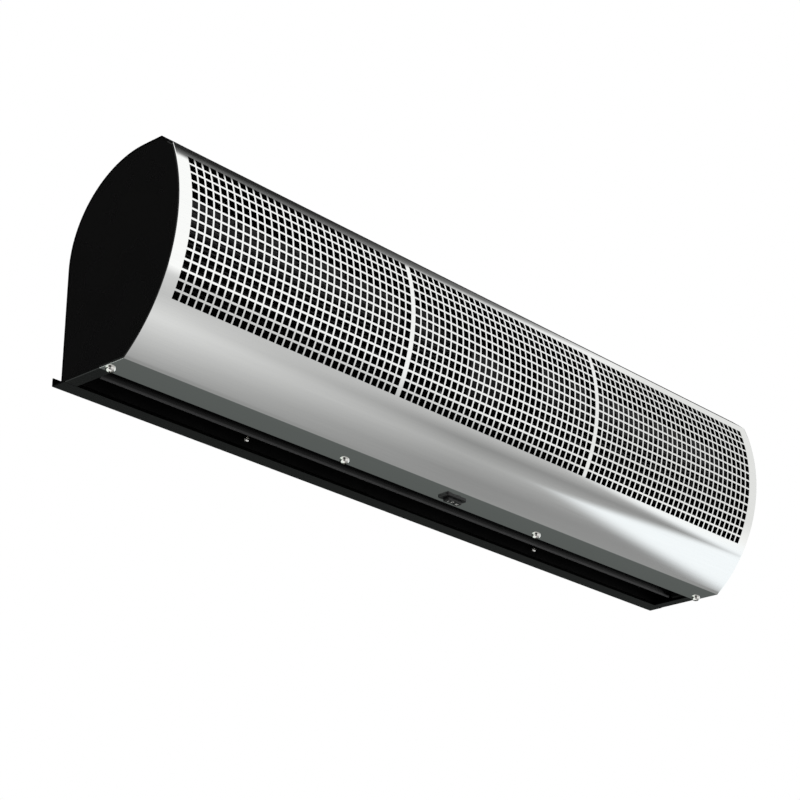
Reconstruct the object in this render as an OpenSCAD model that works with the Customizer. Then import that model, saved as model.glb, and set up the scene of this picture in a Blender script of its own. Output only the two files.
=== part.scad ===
// Air curtain: a slim cross-flow blower that hangs above a doorway.
// The unit's own frame has x = 0 at mid length, y = 0 on the flat back, z = 0 on the underside,
// and its front faces -Y. The origin is moved to the middle of the wall plate's four screw holes,
// on the wall, so that everything hangs from there.

/* [Casing] */
// Length of the unit
unit_l = 900; // [780:4:1200]
// Height of the unit
unit_h = 204; // [200:1:214]
// Depth from the flat back to the fullest point of the front
unit_d = 144.6; // [142:0.2:152]
// Radius of the curved front
front_r = 167; // [160:1:180]
// Height of the front's fullest point
bulge_z = 129.7; // [124:0.1:134]
// Radius of the quarter-round between the back and the top
rear_r = 94.5; // [88:0.5:98]
// Drop from the top to the front cover's upper end
cover_top_z = 12.5; // [9:0.5:16]
// Distance from the front's curve back to the crease where the flat top begins
crease_y = 8.96; // [6:0.02:12]
// Thickness of the front cover's sheet
cover_t = 1; // [0.8:0.1:1.2]
// Thickness of the rear housing's sheet
case_t = 1.2; // [0.8:0.1:1.5]
// Thickness of the end plates' sheet
plate_t = 1.5; // [1:0.1:2]
// Width of the end plates' inward rim
rim_w = 14; // [12:0.5:18]
// Play between an end plate's rim and the sheets around it
seam = 0.2; // [0.1:0.05:0.4]
// Length of the cover's tucked-in top lip
top_lip = 8; // [5:0.5:12]

/* [Perforated grille] */
// Bays of holes, parted by plain ribs
bays = 3; // [1:1:4]
// Rows of holes
rows = 15; // [4:1:15]
// Hole spacing along the unit
hole_pitch = 9; // [8:0.5:14]
// Hole spacing around the curve
row_pitch = 9.36; // [8.5:0.02:9.6]
// Side of a square hole
hole_w = 7; // [4:0.1:7.2]
// Plain width added at a rib
rib_extra = 4; // [0:0.5:10]
// Smallest distance from a grille's first hole centre to the unit's end
grille_margin = 18.5; // [15:0.5:40]
// Drop from the cover's upper end to the top row's hole centres
grille_top_z = 12.5; // [9:0.5:20]

/* [Outlet] */
// Distance from the back to the outlet's front edge
slot_front = 51; // [49:0.5:54]
// Distance from the back to the outlet's rear edge
slot_rear = 4.5; // [4.5:0.1:6]
// Thickness of the air guides' sheet
guide_t = 0.8; // [0.6:0.1:1]
// Thickness of the bottom rail
rail_t = 1.2; // [1:0.1:1.5]
// Height of the rail's upturned lip
rail_lip = 8.1; // [5:0.1:12]
// Distance from the back to the vane's pivot
vane_y = 38.5; // [37:0.5:40]
// Height of the vane's pivot
vane_z = 27; // [26:0.5:28]
// Reach of the vane from its pivot to its tip's centre
vane_reach = 25; // [20:0.5:25]
// Lean of the vane towards the wall, from straight down
vane_lean = 23.5; // [0:0.5:30]
// Thickness of the vane's blade
vane_t = 1.2; // [0.8:0.1:2]
// Radius of the vane's rolled root
vane_root_r = 3; // [2.5:0.1:3.5]
// Radius of the vane's folded tip
vane_tip_r = 1.1; // [1:0.1:1.6]
// Radius of the vane's pivot pins
vane_pin_r = 2; // [1.5:0.1:2.3]
// Distance from the unit's end to the vane's end
vane_inset = 20; // [19:0.5:30]

/* [Blower] */
// Diameter of the cross-flow wheels
wheel_d = 100; // [96:0.5:102]
// Distance from the back to the wheel's axis
wheel_y = 76; // [75:0.5:77]
// Drop from the top to the wheel's axis
wheel_z = 79; // [78:0.5:80]
// Blades on a wheel
blades = 30; // [20:1:36]
// Thickness of a wheel's blade
blade_t = 0.8; // [0.6:0.1:1]
// Rings along a wheel, with both its ends
wheel_rings = 6; // [3:1:8]
// Thickness of a wheel's end disc
disc_t = 3; // [2:0.5:4]
// Gap between a wheel and the tongue
tongue_gap = 5; // [4:0.5:6]
// Gap between a wheel and the top of its scroll
scroll_gap = 4.5; // [4:0.5:6]
// Distance from mid length to a bulkhead
bay_half = 55; // [52:0.5:70]
// Distance from a bulkhead to its wheel
wheel_gap = 6; // [5:0.5:12]
// Distance from a wheel to the end plate
wheel_end_gap = 20; // [18:0.5:30]
// Radius of the motor shaft and of the stub shafts
shaft_r = 4; // [3:0.1:5]
// Running clearance in the bearings, on the radius
bearing_play = 0.05; // [0.03:0.01:0.08]
// Radius of the motor's case
motor_r = 42; // [38:0.5:43]
// Length of the motor's case
motor_l = 58; // [54:1:60]

/* [Switch] */
// Distance from mid length to the switch, towards the right
switch_x = 2; // [0:1:20]
// Distance from the cover's bottom crease to the switch's middle
switch_y = 17.2; // [16.6:0.1:18]
// Length of the switch's bezel
bezel_l = 31; // [30:0.5:34]
// Width of the bezel
bezel_w = 14.4; // [13.6:0.2:15]
// Thickness of the bezel
bezel_t = 1.9; // [1.5:0.1:2.4]
// Length of the switch's body
switch_l = 27; // [26:0.5:28]
// Width of the switch's body
switch_w = 12; // [11.4:0.1:12.4]
// Length of the rocker
rocker_l = 20; // [18:0.5:21]
// Width of the rocker
rocker_w = 7.6; // [7:0.1:8]
// Depth that the rocker stands below the unit
rocker_drop = 5.6; // [4.5:0.1:7]
// Clearance at the rocker's sides
rocker_play = 0.3; // [0.2:0.05:0.5]

/* [Fasteners] */
// Distance from the unit's end to its last cover screw
cover_screw_end = 7; // [6:0.5:8]
// Distance from the back to the cover screws
cover_screw_y = 57.5; // [57:0.5:60]
// Distance from mid length to the left throat screw
throat_screw_left = 228; // [180:1:300]
// Distance from mid length to the right throat screw
throat_screw_right = 210; // [180:1:300]
// Height of the throat screws
throat_screw_z = 12; // [11:0.5:14]
// Play between a screw's shank and its hole, on the radius
screw_play = 0.1; // [0.05:0.05:0.2]

/* [Wall plate] */
// Gap between the flat back and the wall
wall_gap = 12.4; // [10:0.1:16]
// Thickness of the wall plate
wall_t = 1.5; // [1:0.1:2]
// Length of the wall plate
wall_l = 760; // [660:4:776]
// Spacing of the wall screws along the unit
fix_x = 600; // [560:2:620]
// Spacing of the wall screws in height
fix_dz = 60; // [50:2:66]
// Height of the wall screws' middle above the underside
fix_z = 100; // [96:1:104]
// Radius of the wall screws' holes
fix_r = 3.25; // [2.5:0.05:4]
// Distance from mid length to a hook
hook_x = 250; // [230:2:270]
// Height of the hooks above the underside
hook_z = 84; // [82:1:88]

/* [Hidden] */
$fn = 96;

far = 1000;                       // reach of cutting shapes
over = 1;                         // how far a cutter runs past a face
end_cut = 30;                     // reach of the cover's end cut to both sides of its sheet
half_l = unit_l / 2;
end_in = half_l - plate_t;        // inner face of an end plate
rim_in = half_l - rim_w;          // inner edge of an end plate's rim

// Curved front: its centre in (y, z), and the point where the cover ends
front_c = [front_r - unit_d, bulge_z];
function front_y(z) = front_c[0] - sqrt(pow(front_r, 2) - pow(z - bulge_z, 2));
cover_end = [front_y(unit_h - cover_top_z), unit_h - cover_top_z];
crease = [front_y(unit_h) + crease_y, unit_h];
facet_d = (crease - cover_end) / norm(crease - cover_end);
facet_n = [facet_d[1], -facet_d[0]];
function on_facet(along, inward) = cover_end + facet_d * along + facet_n * inward;
rear_c = [-rear_r, unit_h - rear_r];

// Grille: whole columns that fit, centred on the unit
bay_cols = floor((unit_l - 2 * grille_margin + hole_pitch - (bays - 1) * rib_extra)
                 / hole_pitch / bays + 0.001);
bay_l = (bay_cols - 1) * hole_pitch;
bay_step = bay_cols * hole_pitch + rib_extra;
grille_l = (bays - 1) * bay_step + bay_l;
top_row_a = asin((cover_end[1] - grille_top_z - bulge_z) / front_r);
row_a = row_pitch / front_r * 180 / PI;

// Air guides
floor_z = rail_t + seam + plate_t + seam;      // lowest guide edge over an end plate's rim
guide_end = end_in;
scroll_arc_r = 70;
scroll_c = [-slot_rear - scroll_arc_r,
            unit_h - wheel_z + wheel_d / 2 + scroll_gap - scroll_arc_r];
scroll_sweep = 120;
tongue_r = wheel_d / 2 + tongue_gap;
tongue_y = slot_front + 1;                      // rear face of the tongue's wall
tongue_foot = 14;
tongue_lip_a = 115;

// Blower
wheel_c = [-wheel_y, unit_h - wheel_z];
wheel_x0 = bay_half + case_t + wheel_gap;
wheel_x1 = end_in - wheel_end_gap;
wheel_l = wheel_x1 - wheel_x0;
hub_r = 13;
hub_l = 16;
stub_x0 = wheel_x1 - hub_l;
shaft_end = wheel_x0 + hub_l + 2;
blade_depth = 10;
blade_in_r = wheel_d / 2 - blade_depth;
set_screw_r = 2;

// Motor
shield_t = 5;
spigot_l = 3;
case_wall = 1.6;
boss_r = 13;
boss_end = bay_half - 4;
ring_r = 20;
ring_w = 10;
ring_x0 = boss_end - ring_w - 1;
stator_r = 22.6;
rotor_gap = 0.5;
stator_half = 18;
winding_l = 6;
cradle_t = 2;
cradle_z = wheel_c[1] - motor_r - 2 - cradle_t;
cradle_w = 60;
ear_w = 12;
strap_t = 1.5;
arm_x = ring_x0 + ring_w / 2;

// End bearings
bush_l = 9;
bush_end = 2.5;                   // from a bush to the end plate
bush_x0 = end_in - bush_end - bush_l;
bush_wall = 2.9;
bush_r = shaft_r + bush_wall;
rubber_wall = 7;
cup_r = bush_r + rubber_wall;
cup_lip = 1;                      // how far the cup reaches past its rubber
holder_t = 1.5;
holder_edge = 1;                  // plain width outside a nut
nut_r = 3.6;
nut_h = 3.2;
nut_room = 1.4;
nut_ring_r = cup_r + holder_t + nut_r + nut_room;
holder_r = nut_ring_r + nut_r + holder_edge;
stud_r = 2;
stud_l = 8;

// Vane
vane_half = half_l - vane_inset;
bracket_t = 2;
bracket_gap = 1.5;
pin_l = bracket_gap + bracket_t + 1;
vane_c = [-vane_y, vane_z];
bracket_x = vane_half + bracket_gap;

// Switch
switch_c = [switch_x, front_y(0) + switch_y];
switch_room = 3;                  // between the switch's body and the channel's foot
body_up = 16;
bezel_corner = 3;
snap_gap = 0.1;                   // from the cover's sheet to the snap hooks
snap_out = 0.9;
snap_h = 3.5;
snap_w = 6;
rocker_room = 1;                  // gap at the rocker's ends, for its tilt
rocker_dip = 1.2;
rocker_top = 5.5;
rocker_pin_r = 1.2;
rocker_pin_z = 2.5;
switch_wall = 1.4;
tab_l = 8;
tab_t = 0.8;

// Fasteners
cover_shank_r = 2.5;
cover_head_r = 4.75;
cover_head_h = 3.9;
cover_shank_l = 10;
stay_x = (unit_l - 2 * cover_screw_end) / 6;
cover_screw_xs = [-half_l + cover_screw_end, -stay_x, stay_x, half_l - cover_screw_end];
throat_shank_r = 1.75;
throat_head_r = 3.25;
throat_screw_xs = [-throat_screw_left, throat_screw_right];
stay_t = 1.5;
stay_w = 12;
stay_foot = 14;
stay_lap = 4;                     // least overlap of a rib and its foot
strap_shank_r = 1.75;
cradle_screw_y = cradle_w / 2 - 8;
cradle_flange = 14;
cradle_screw_z = cradle_z + cradle_t + cradle_flange / 2;

// Wall plate
wall_low = 20;
wall_high = 146;
hook_w = 30;
hook_up = 7.5;
hook_face = case_t + seam;         // back wall's inner face to the hook
tab_w = 24;
tab_face = 0.2;
grommet_x = 30;
grommet_z = 60;
grommet_r = 7;
grommet_bore = 4.5;
cable_hole_r = 20;

// Electrical parts
cap_r = 15;
cap_l = 56;
cap_band_w = 14;
cap_band_t = 1;
cap_play = 0.1;
cap_room = 2;                     // from the switch's tabs up to the capacitor's clip
cap_c = [-(tongue_y + guide_t + cap_band_t + cap_play + cap_r),
         body_up + tab_l + cap_room + cap_band_t + cap_play + cap_r];
clip_screw_z = cap_c[1] - 14;
clip_low = 20;                    // from the capacitor's axis down to its clip's lower edge
clip_high = 6;                    // and up to the clip's upper edge
channel_top = vane_z + vane_root_r + 6;
block_l = 52;
block_w = 18;
block_h = 12;
block_x = -10;
block_y = 34;
block_screws = 5;

// Moves a piece from the unit's frame to the origin on the wall
module unit() {
    translate([0, -wall_gap, -fix_z]) children();
}

// Sweeps a flat shape drawn in (y, z) along x
module along_x(x0, x1) {
    translate([x0, 0, 0]) rotate([90, 0, 90]) linear_extrude(x1 - x0) children();
}

// A round bar along x about the point c in (y, z)
module bar_x(c, r, x0, x1) {
    translate([x0, c[0], c[1]]) rotate([0, 90, 0]) cylinder(r = r, h = x1 - x0);
}

// Draws a piece at the right end, or its mirror image at the left end
module at_side(side) {
    if (side > 0) children();
    else mirror([1, 0, 0]) children();
}

// The unit's cross-section, taken in from the front, from the case and up from the underside
module section(front_in, case_in, low) {
    intersection() {
        translate(front_c) circle(r = front_r - front_in, $fn = 200);
        translate([-far, low]) square([2 * far, far]);
        union() {
            translate(rear_c) circle(r = rear_r - case_in, $fn = 160);
            translate([-far, low]) square([far - case_in, rear_c[1] - low]);
            translate([-far, low]) square([far - rear_r, unit_h - case_in - low]);
        }
        polygon([on_facet(-far, case_in), on_facet(far, case_in), on_facet(far, far),
                 on_facet(-far, far)]);
    }
}

// A pan-head screw that points up, with its head below z = 0 and a crossed recess
module pan_screw(shank_r, shank_l, head_r, head_h) {
    dome_r = (pow(head_r, 2) + pow(head_h, 2)) / (2 * head_h);
    difference() {
        intersection() {
            translate([0, 0, -head_h]) cylinder(r = head_r, h = head_h);
            translate([0, 0, dome_r - head_h]) sphere(r = dome_r);
        }
        for (a = [0, 90]) rotate([0, 0, a])
            translate([-head_r * 0.5, -head_r * 0.1, -head_h - over])
                cube([head_r, head_r * 0.2, over + head_h * 0.5]);
    }
    cylinder(r = shank_r, h = shank_l);
}

// --- Casing ---

// The cover's sheet: curved front, return strip under the unit
module cover_profile() {
    translate(front_c) difference() {
        circle(r = front_r, $fn = 200);
        circle(r = front_r - cover_t, $fn = 200);
    }
}

module cover_sheet() {
    intersection() {
        cover_profile();
        polygon([on_facet(0, end_cut), on_facet(0, -end_cut), [-far, 0], [front_c[0], 0]]);
    }
    translate([front_y(0), 0]) square([-slot_front - front_y(0), cover_t]);
}

// The cover's lip, tucked under the housing's front flange
module cover_lip() {
    lip_in = case_t + seam;
    intersection() {
        translate(front_c) circle(r = front_r, $fn = 200);
        polygon([on_facet(-3, lip_in), on_facet(top_lip, lip_in),
                 on_facet(top_lip, lip_in + cover_t), on_facet(-3, lip_in + cover_t)]);
    }
}

module grille_holes() {
    for (b = [0 : bays - 1])
        for (c = [0 : bay_cols - 1])
            for (r = [0 : rows - 1])
                translate([-grille_l / 2 + b * bay_step + c * hole_pitch, front_c[0], front_c[1]])
                    rotate([top_row_a - r * row_a, 0, 0])
                        translate([-hole_w / 2, -front_r - over, -hole_w / 2])
                            cube([hole_w, cover_t + 2 * over, hole_w]);
}

module front_cover() {
    color("silver") unit() difference() {
        union() {
            along_x(-half_l, half_l) cover_sheet();
            along_x(-rim_in + over, rim_in - over) cover_lip();
        }
        grille_holes();
        for (x = cover_screw_xs)
            translate([x, -cover_screw_y, -over])
                cylinder(r = cover_shank_r + screw_play, h = cover_t + 2 * over);
        translate([switch_c[0] - switch_l / 2 - seam, switch_c[1] - switch_w / 2 - seam, -over])
            cube([switch_l + 2 * seam, switch_w + 2 * seam, cover_t + 2 * over]);
    }
}

// Back, quarter-round, flat top and front flange in one folded sheet
module rear_housing() {
    color("#161618") unit() difference() {
        union() {
            along_x(-half_l, half_l) difference() {
                section(0, 0, rail_t);
                section(-2 * over, case_t, rail_t - over);
                polygon([on_facet(seam, -over), on_facet(seam, 3 * over),
                         on_facet(-rim_w, 3 * over), on_facet(-rim_w, -over)]);
            }
            along_x(-rim_in + over, rim_in - over)
                translate([-slot_rear, rail_t]) square([slot_rear - case_t / 2, case_t]);
        }
        for (s = [-1, 1])
            translate([s * hook_x - hook_w / 2 - over, -case_t - over, hook_z - hook_up - 1.5])
                cube([hook_w + 2 * over, case_t + 2 * over, hook_up + 3 + seam]);
        for (x = throat_screw_xs) translate([x, over, throat_screw_z]) rotate([90, 0, 0])
            cylinder(r = throat_shank_r + screw_play, h = case_t + 2 * over);
        translate([grommet_x, over, grommet_z]) rotate([90, 0, 0])
            cylinder(r = grommet_r, h = case_t + 2 * over);
    }
}

// Angle along the outlet's rear edge, with a lip that closes the gap to the wall
module bottom_rail() {
    color("#1e1e1e") unit() along_x(-half_l, half_l) {
        translate([-slot_rear, 0]) square([slot_rear + wall_gap, rail_t]);
        translate([wall_gap - rail_t, 0]) square([rail_t, rail_lip]);
    }
}

// Pan-shaped end with an inward rim and two welded studs for its bearing
module end_plate(side) {
    front_in = cover_t + seam;
    case_in = case_t + seam;
    low = rail_t + seam;
    color("#0c0c0d") unit() at_side(side) {
        difference() {
            union() {
                along_x(end_in, half_l) section(front_in, case_in, low);
                along_x(rim_in, end_in) difference() {
                    section(front_in, case_in, low);
                    section(front_in + plate_t, case_in + plate_t, low + plate_t);
                }
            }
            translate([half_l - cover_screw_end, -cover_screw_y, 0])
                cylinder(r = cover_shank_r + screw_play, h = low + plate_t + over);
        }
        for (s = [-1, 1])
            bar_x(wheel_c + [s * nut_ring_r, 0], stud_r, end_in - stud_l, end_in + plate_t / 2);
    }
}

// --- Air guides ---

// Scroll behind the wheel: round over the top, then straight down the outlet's rear side
module scroll(side) {
    color("#18181a") unit() at_side(side) difference() {
        along_x(bay_half + case_t, guide_end) {
            intersection() {
                translate(scroll_c) difference() {
                    circle(r = scroll_arc_r + guide_t, $fn = 160);
                    circle(r = scroll_arc_r, $fn = 160);
                }
                polygon([scroll_c, scroll_c + [far, 0], scroll_c + [far, far],
                         scroll_c + [-far, far],
                         scroll_c + far * [cos(scroll_sweep), sin(scroll_sweep)]]);
            }
            translate([-slot_rear, floor_z]) square([guide_t, scroll_c[1] - floor_z]);
        }
        for (x = throat_screw_xs) translate([abs(x), 0, throat_screw_z]) rotate([90, 0, 0])
            if (sign(x) == side) cylinder(r = throat_shank_r + screw_play, h = slot_rear + over);
    }
}

// Tongue in front of the outlet: foot, wall, and a lip that follows the wheel
module tongue(side) {
    lip_a0 = acos((wheel_y - tongue_y) / tongue_r);
    wall_top = wheel_c[1] - tongue_r * sin(lip_a0);
    color("#18181a") unit() at_side(side) difference() {
        union() {
            along_x(bay_half + case_t, guide_end) {
                translate([-tongue_y - guide_t, floor_z])
                    square([guide_t, wall_top - floor_z + guide_t]);
                intersection() {
                    translate(wheel_c) difference() {
                        circle(r = tongue_r + guide_t, $fn = 160);
                        circle(r = tongue_r, $fn = 160);
                    }
                    polygon([wheel_c, wheel_c + far * [cos(lip_a0), -sin(lip_a0)],
                             wheel_c + far * [cos(tongue_lip_a), -sin(tongue_lip_a)]]);
                }
            }
            along_x(bay_half + case_t, rim_in - over) {
                translate([-tongue_y - tongue_foot, cover_t]) square([tongue_foot, guide_t]);
                translate([-tongue_y - guide_t, cover_t]) square([guide_t, floor_z]);
            }
        }
        translate([stay_x, -cover_screw_y, 0])
            cylinder(r = cover_shank_r + screw_play, h = cover_t + guide_t + over);
    }
}

// Wall between a wheel and the motor, with a flange along the back
module bulkhead(side) {
    front_in = cover_t + 2;
    case_in = case_t + seam;
    low = channel_top + guide_t;
    flange_w = 10;
    color("#18181a") unit() at_side(side) difference() {
        union() {
            along_x(bay_half, bay_half + case_t) section(front_in, case_in, low);
            along_x(bay_half - flange_w, bay_half) difference() {
                section(front_in, case_in, low);
                section(-over, case_in + case_t, low - over);
            }
        }
        along_x(bay_half - flange_w - over, bay_half + case_t + over)
            polygon([on_facet(-rim_w, 0), on_facet(top_lip + over, 0),
                     on_facet(top_lip + over, case_in + cover_t + 0.4),
                     on_facet(-rim_w, case_in + cover_t + 0.4)]);
        bar_x(wheel_c, ring_r + 2, bay_half - over, bay_half + case_t + over);
        for (s = [-1, 1])
            bar_x([wheel_c[0] + s * cradle_screw_y, cradle_screw_z],
                  strap_shank_r + screw_play, bay_half - over, bay_half + case_t + over);
    }
}

// Channel that roofs the outlet under the motor and carries the terminal block
module bay_channel() {
    channel_foot = -tongue_y - (switch_c[1] + switch_w / 2 + switch_room);
    color("#18181a") unit() difference() {
        along_x(-bay_half - case_t, bay_half + case_t) {
            translate([-tongue_y - guide_t, channel_top])
                square([tongue_y + guide_t - slot_rear + guide_t, guide_t]);
            translate([-tongue_y - guide_t, cover_t]) square([guide_t, channel_top - cover_t]);
            translate([-tongue_y - channel_foot, cover_t]) square([channel_foot, guide_t]);
            translate([-slot_rear, rail_t + case_t])
                square([guide_t, channel_top - rail_t - case_t]);
        }
        translate([0, -tongue_y + over, clip_screw_z]) rotate([90, 0, 0])
            cylinder(r = strap_shank_r + screw_play, h = guide_t + 2 * over);
    }
}

// Thin rib behind a plain strip of the grille, with a foot under the middle cover screw
module cover_stay(side) {
    front_in = cover_t + 0.3;
    case_in = case_t + seam + cover_t + 0.6;
    foot_z = cover_t + guide_t;
    foot_back = -tongue_y - guide_t - seam;
    rib_r = front_r - front_in - stay_w;
    rib_end = front_c[0] - sqrt(pow(rib_r, 2) - pow(foot_z - bulge_z, 2));
    foot_l = max(stay_foot, foot_back - rib_end + stay_lap);
    color("#18181a") unit() at_side(side) difference() {
        union() {
            along_x(stay_x - stay_t / 2, stay_x + stay_t / 2) difference() {
                section(front_in, case_in, foot_z);
                translate(front_c) circle(r = rib_r, $fn = 200);
                translate([foot_back, 0]) square([far, far]);
            }
            translate([stay_x - stay_foot / 2, foot_back - foot_l, foot_z])
                cube([stay_foot, foot_l, stay_t]);
        }
        translate([stay_x, -cover_screw_y, 0])
            cylinder(r = cover_shank_r + screw_play, h = cover_shank_l + 3);
    }
}

// --- Blower ---

// One curved blade between the wheel's inner and outer radius
module blade() {
    curve_r = 9;
    intersection() {
        translate([blade_in_r + 2, -curve_r]) difference() {
            circle(r = curve_r + blade_t / 2, $fn = 48);
            circle(r = curve_r - blade_t / 2, $fn = 48);
        }
        difference() {
            circle(r = wheel_d / 2 - 0.4);
            circle(r = blade_in_r + 0.4);
        }
        translate([blade_in_r - 2, -blade_depth / 2]) square([blade_depth + 4, blade_depth * 0.7]);
    }
}

// Cross-flow wheel: blades through a row of rings, a hub at both ends
module impeller(side) {
    ring_t = 1.5;
    step = (wheel_l - disc_t) / (wheel_rings - 1);
    color("#1c1c1e") unit() at_side(side) difference() {
        union() {
            along_x(wheel_x0 + disc_t / 2, wheel_x1 - disc_t / 2) translate(wheel_c)
                for (i = [0 : blades - 1]) rotate(i * 360 / blades) blade();
            for (i = [1 : wheel_rings - 2])
                along_x(wheel_x0 + i * step, wheel_x0 + i * step + ring_t)
                    translate(wheel_c) difference() {
                        circle(r = wheel_d / 2);
                        circle(r = blade_in_r - 1.5);
                    }
            bar_x(wheel_c, wheel_d / 2, wheel_x0, wheel_x0 + disc_t);
            bar_x(wheel_c, wheel_d / 2, wheel_x1 - disc_t, wheel_x1);
            bar_x(wheel_c, hub_r, wheel_x0, wheel_x0 + hub_l);
            bar_x(wheel_c, hub_r, wheel_x1 - hub_l, wheel_x1);
        }
        bar_x(wheel_c, shaft_r + bearing_play, wheel_x0 - over, wheel_x0 + hub_l + over);
        bar_x(wheel_c, shaft_r + bearing_play, wheel_x1 - hub_l - over, wheel_x1 + over);
        for (x = [wheel_x0 + hub_l - 5, wheel_x1 - hub_l + 5])
            translate([x, wheel_c[0], wheel_c[1]])
                cylinder(r = set_screw_r + bearing_play, h = hub_r + over);
    }
}

module stub_shaft(side) {
    color("#c8c8c8") unit() at_side(side)
        bar_x(wheel_c, shaft_r, stub_x0 - 2, bush_x0 + bush_l);
}

module hub_set_screws() {
    color("#4a4a4c") unit() for (side = [-1, 1]) at_side(side)
        for (x = [wheel_x0 + hub_l - 5, wheel_x1 - hub_l + 5])
            translate([x, wheel_c[0], wheel_c[1] + shaft_r + bearing_play])
                cylinder(r = set_screw_r, h = hub_r - shaft_r - 1);
}

module motor_shaft() {
    color("#c8c8c8") unit() bar_x(wheel_c, shaft_r, -shaft_end, shaft_end);
}

module rotor_core() {
    core_half = stator_half + 2;
    color("#8d8f92") unit() difference() {
        union() {
            bar_x(wheel_c, stator_r - rotor_gap, -stator_half, stator_half);
            bar_x(wheel_c, stator_r - 4, -core_half, core_half);
        }
        bar_x(wheel_c, shaft_r + bearing_play / 2, -core_half - over, core_half + over);
    }
}

module motor_case() {
    color("#6f7377") unit() difference() {
        bar_x(wheel_c, motor_r, -motor_l / 2, motor_l / 2);
        bar_x(wheel_c, motor_r - case_wall, -motor_l / 2 - over, motor_l / 2 + over);
        for (a = [0 : 45 : 315]) for (s = [-1, 1])
            translate([s * (motor_l / 2 - 6), wheel_c[0], wheel_c[1]]) rotate([a + 22.5, 0, 0])
                cylinder(r = 2.5, h = motor_r + over, $fn = 24);
    }
}

module motor_shield(side) {
    color("#6f7377") unit() at_side(side) difference() {
        union() {
            bar_x(wheel_c, motor_r, motor_l / 2, motor_l / 2 + shield_t);
            bar_x(wheel_c, motor_r - case_wall - 0.1, motor_l / 2 - spigot_l, motor_l / 2);
            bar_x(wheel_c, boss_r, motor_l / 2 + shield_t, boss_end);
        }
        bar_x(wheel_c, motor_r - case_wall - 5, motor_l / 2 - spigot_l - over, motor_l / 2 + 2);
        bar_x(wheel_c, shaft_r + bearing_play, 0, bay_half);
    }
}

module stator_core() {
    color("#5c5f63") unit() difference() {
        bar_x(wheel_c, motor_r - case_wall - 0.1, -stator_half, stator_half);
        bar_x(wheel_c, stator_r, -stator_half - over, stator_half + over);
    }
}

module stator_windings() {
    winding_r = 31;
    color("#b0673a") unit() for (side = [-1, 1]) at_side(side)
        translate([stator_half, wheel_c[0], wheel_c[1]]) rotate([0, 90, 0])
            rotate_extrude() translate([winding_r - winding_l / 2, 0])
                square([winding_l, winding_l]);
}

module motor_rubber_rings() {
    color("#1b1b1c") unit() for (side = [-1, 1]) at_side(side) difference() {
        bar_x(wheel_c, ring_r, ring_x0, ring_x0 + ring_w);
        bar_x(wheel_c, boss_r + 0.05, ring_x0 - over, ring_x0 + ring_w + over);
    }
}

// Cradle between the bulkheads: base, two arms with half-round seats, two end flanges
module motor_cradle() {
    seat_r = ring_r + 0.1;
    color("#8b8e92") unit() difference() {
        union() {
            translate([-bay_half, wheel_c[0] - cradle_w / 2, cradle_z])
                cube([2 * bay_half, cradle_w, cradle_t]);
            for (side = [-1, 1]) at_side(side) {
                translate([arm_x - cradle_t / 2, wheel_c[0] - ring_r - ear_w, cradle_z])
                    cube([cradle_t, 2 * (ring_r + ear_w), wheel_c[1] - cradle_z]);
                translate([ring_x0, wheel_c[0] - ring_r - ear_w, wheel_c[1] - cradle_t])
                    cube([ring_w, 2 * (ring_r + ear_w), cradle_t]);
                translate([bay_half - cradle_t, wheel_c[0] - cradle_w / 2, cradle_z])
                    cube([cradle_t, cradle_w, cradle_flange + cradle_t]);
            }
        }
        for (side = [-1, 1]) at_side(side) {
            bar_x(wheel_c, seat_r, ring_x0 - over, ring_x0 + ring_w + over);
            for (s = [-1, 1]) {
                translate([ring_x0 + 2.5, wheel_c[0] + s * (ring_r + ear_w - 5), 0])
                    cylinder(r = strap_shank_r + screw_play, h = wheel_c[1] + over);
                bar_x([wheel_c[0] + s * cradle_screw_y, cradle_screw_z],
                      strap_shank_r + screw_play, bay_half - cradle_t - over,
                      bay_half + over);
            }
        }
    }
}

// Half-round strap over each rubber ring, with an ear at both sides
module clamp_straps() {
    color("#a7aaad") unit() for (side = [-1, 1]) at_side(side) difference() {
        union() {
            along_x(ring_x0, ring_x0 + ring_w) intersection() {
                translate(wheel_c) circle(r = ring_r + 0.1 + strap_t);
                translate(wheel_c - [far / 2, 0]) square([far, far]);
            }
            translate([ring_x0, wheel_c[0] - ring_r - ear_w, wheel_c[1]])
                cube([ring_w, 2 * (ring_r + ear_w), strap_t]);
        }
        bar_x(wheel_c, ring_r + 0.1, ring_x0 - over, ring_x0 + ring_w + over);
        for (s = [-1, 1])
            translate([ring_x0 + 2.5, wheel_c[0] + s * (ring_r + ear_w - 5), 0])
                cylinder(r = strap_shank_r + screw_play, h = wheel_c[1] + strap_t + over);
    }
}

module strap_screws() {
    color("#c9cbce") unit() for (side = [-1, 1]) at_side(side) for (s = [-1, 1])
        translate([ring_x0 + 2.5, wheel_c[0] + s * (ring_r + ear_w - 5), wheel_c[1] + strap_t])
            mirror([0, 0, 1]) pan_screw(strap_shank_r, 6, 3, 2);
}

module cradle_screws() {
    color("#c9cbce") unit() for (side = [-1, 1]) at_side(side) for (s = [-1, 1])
        translate([bay_half + case_t, wheel_c[0] + s * cradle_screw_y, cradle_screw_z])
            rotate([0, -90, 0]) pan_screw(strap_shank_r, 8, 3, 2);
}

// --- End bearings ---

module bearing_holders() {
    color("#a7aaad") unit() for (side = [-1, 1]) at_side(side) difference() {
        union() {
            bar_x(wheel_c, holder_r, end_in - holder_t, end_in);
            bar_x(wheel_c, cup_r + holder_t, bush_x0 - cup_lip, end_in);
        }
        bar_x(wheel_c, cup_r, bush_x0 - cup_lip - over, end_in - holder_t);
        for (s = [-1, 1])
            bar_x(wheel_c + [s * nut_ring_r, 0], stud_r + 0.1, end_in - holder_t - over,
                  end_in + over);
    }
}

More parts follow.
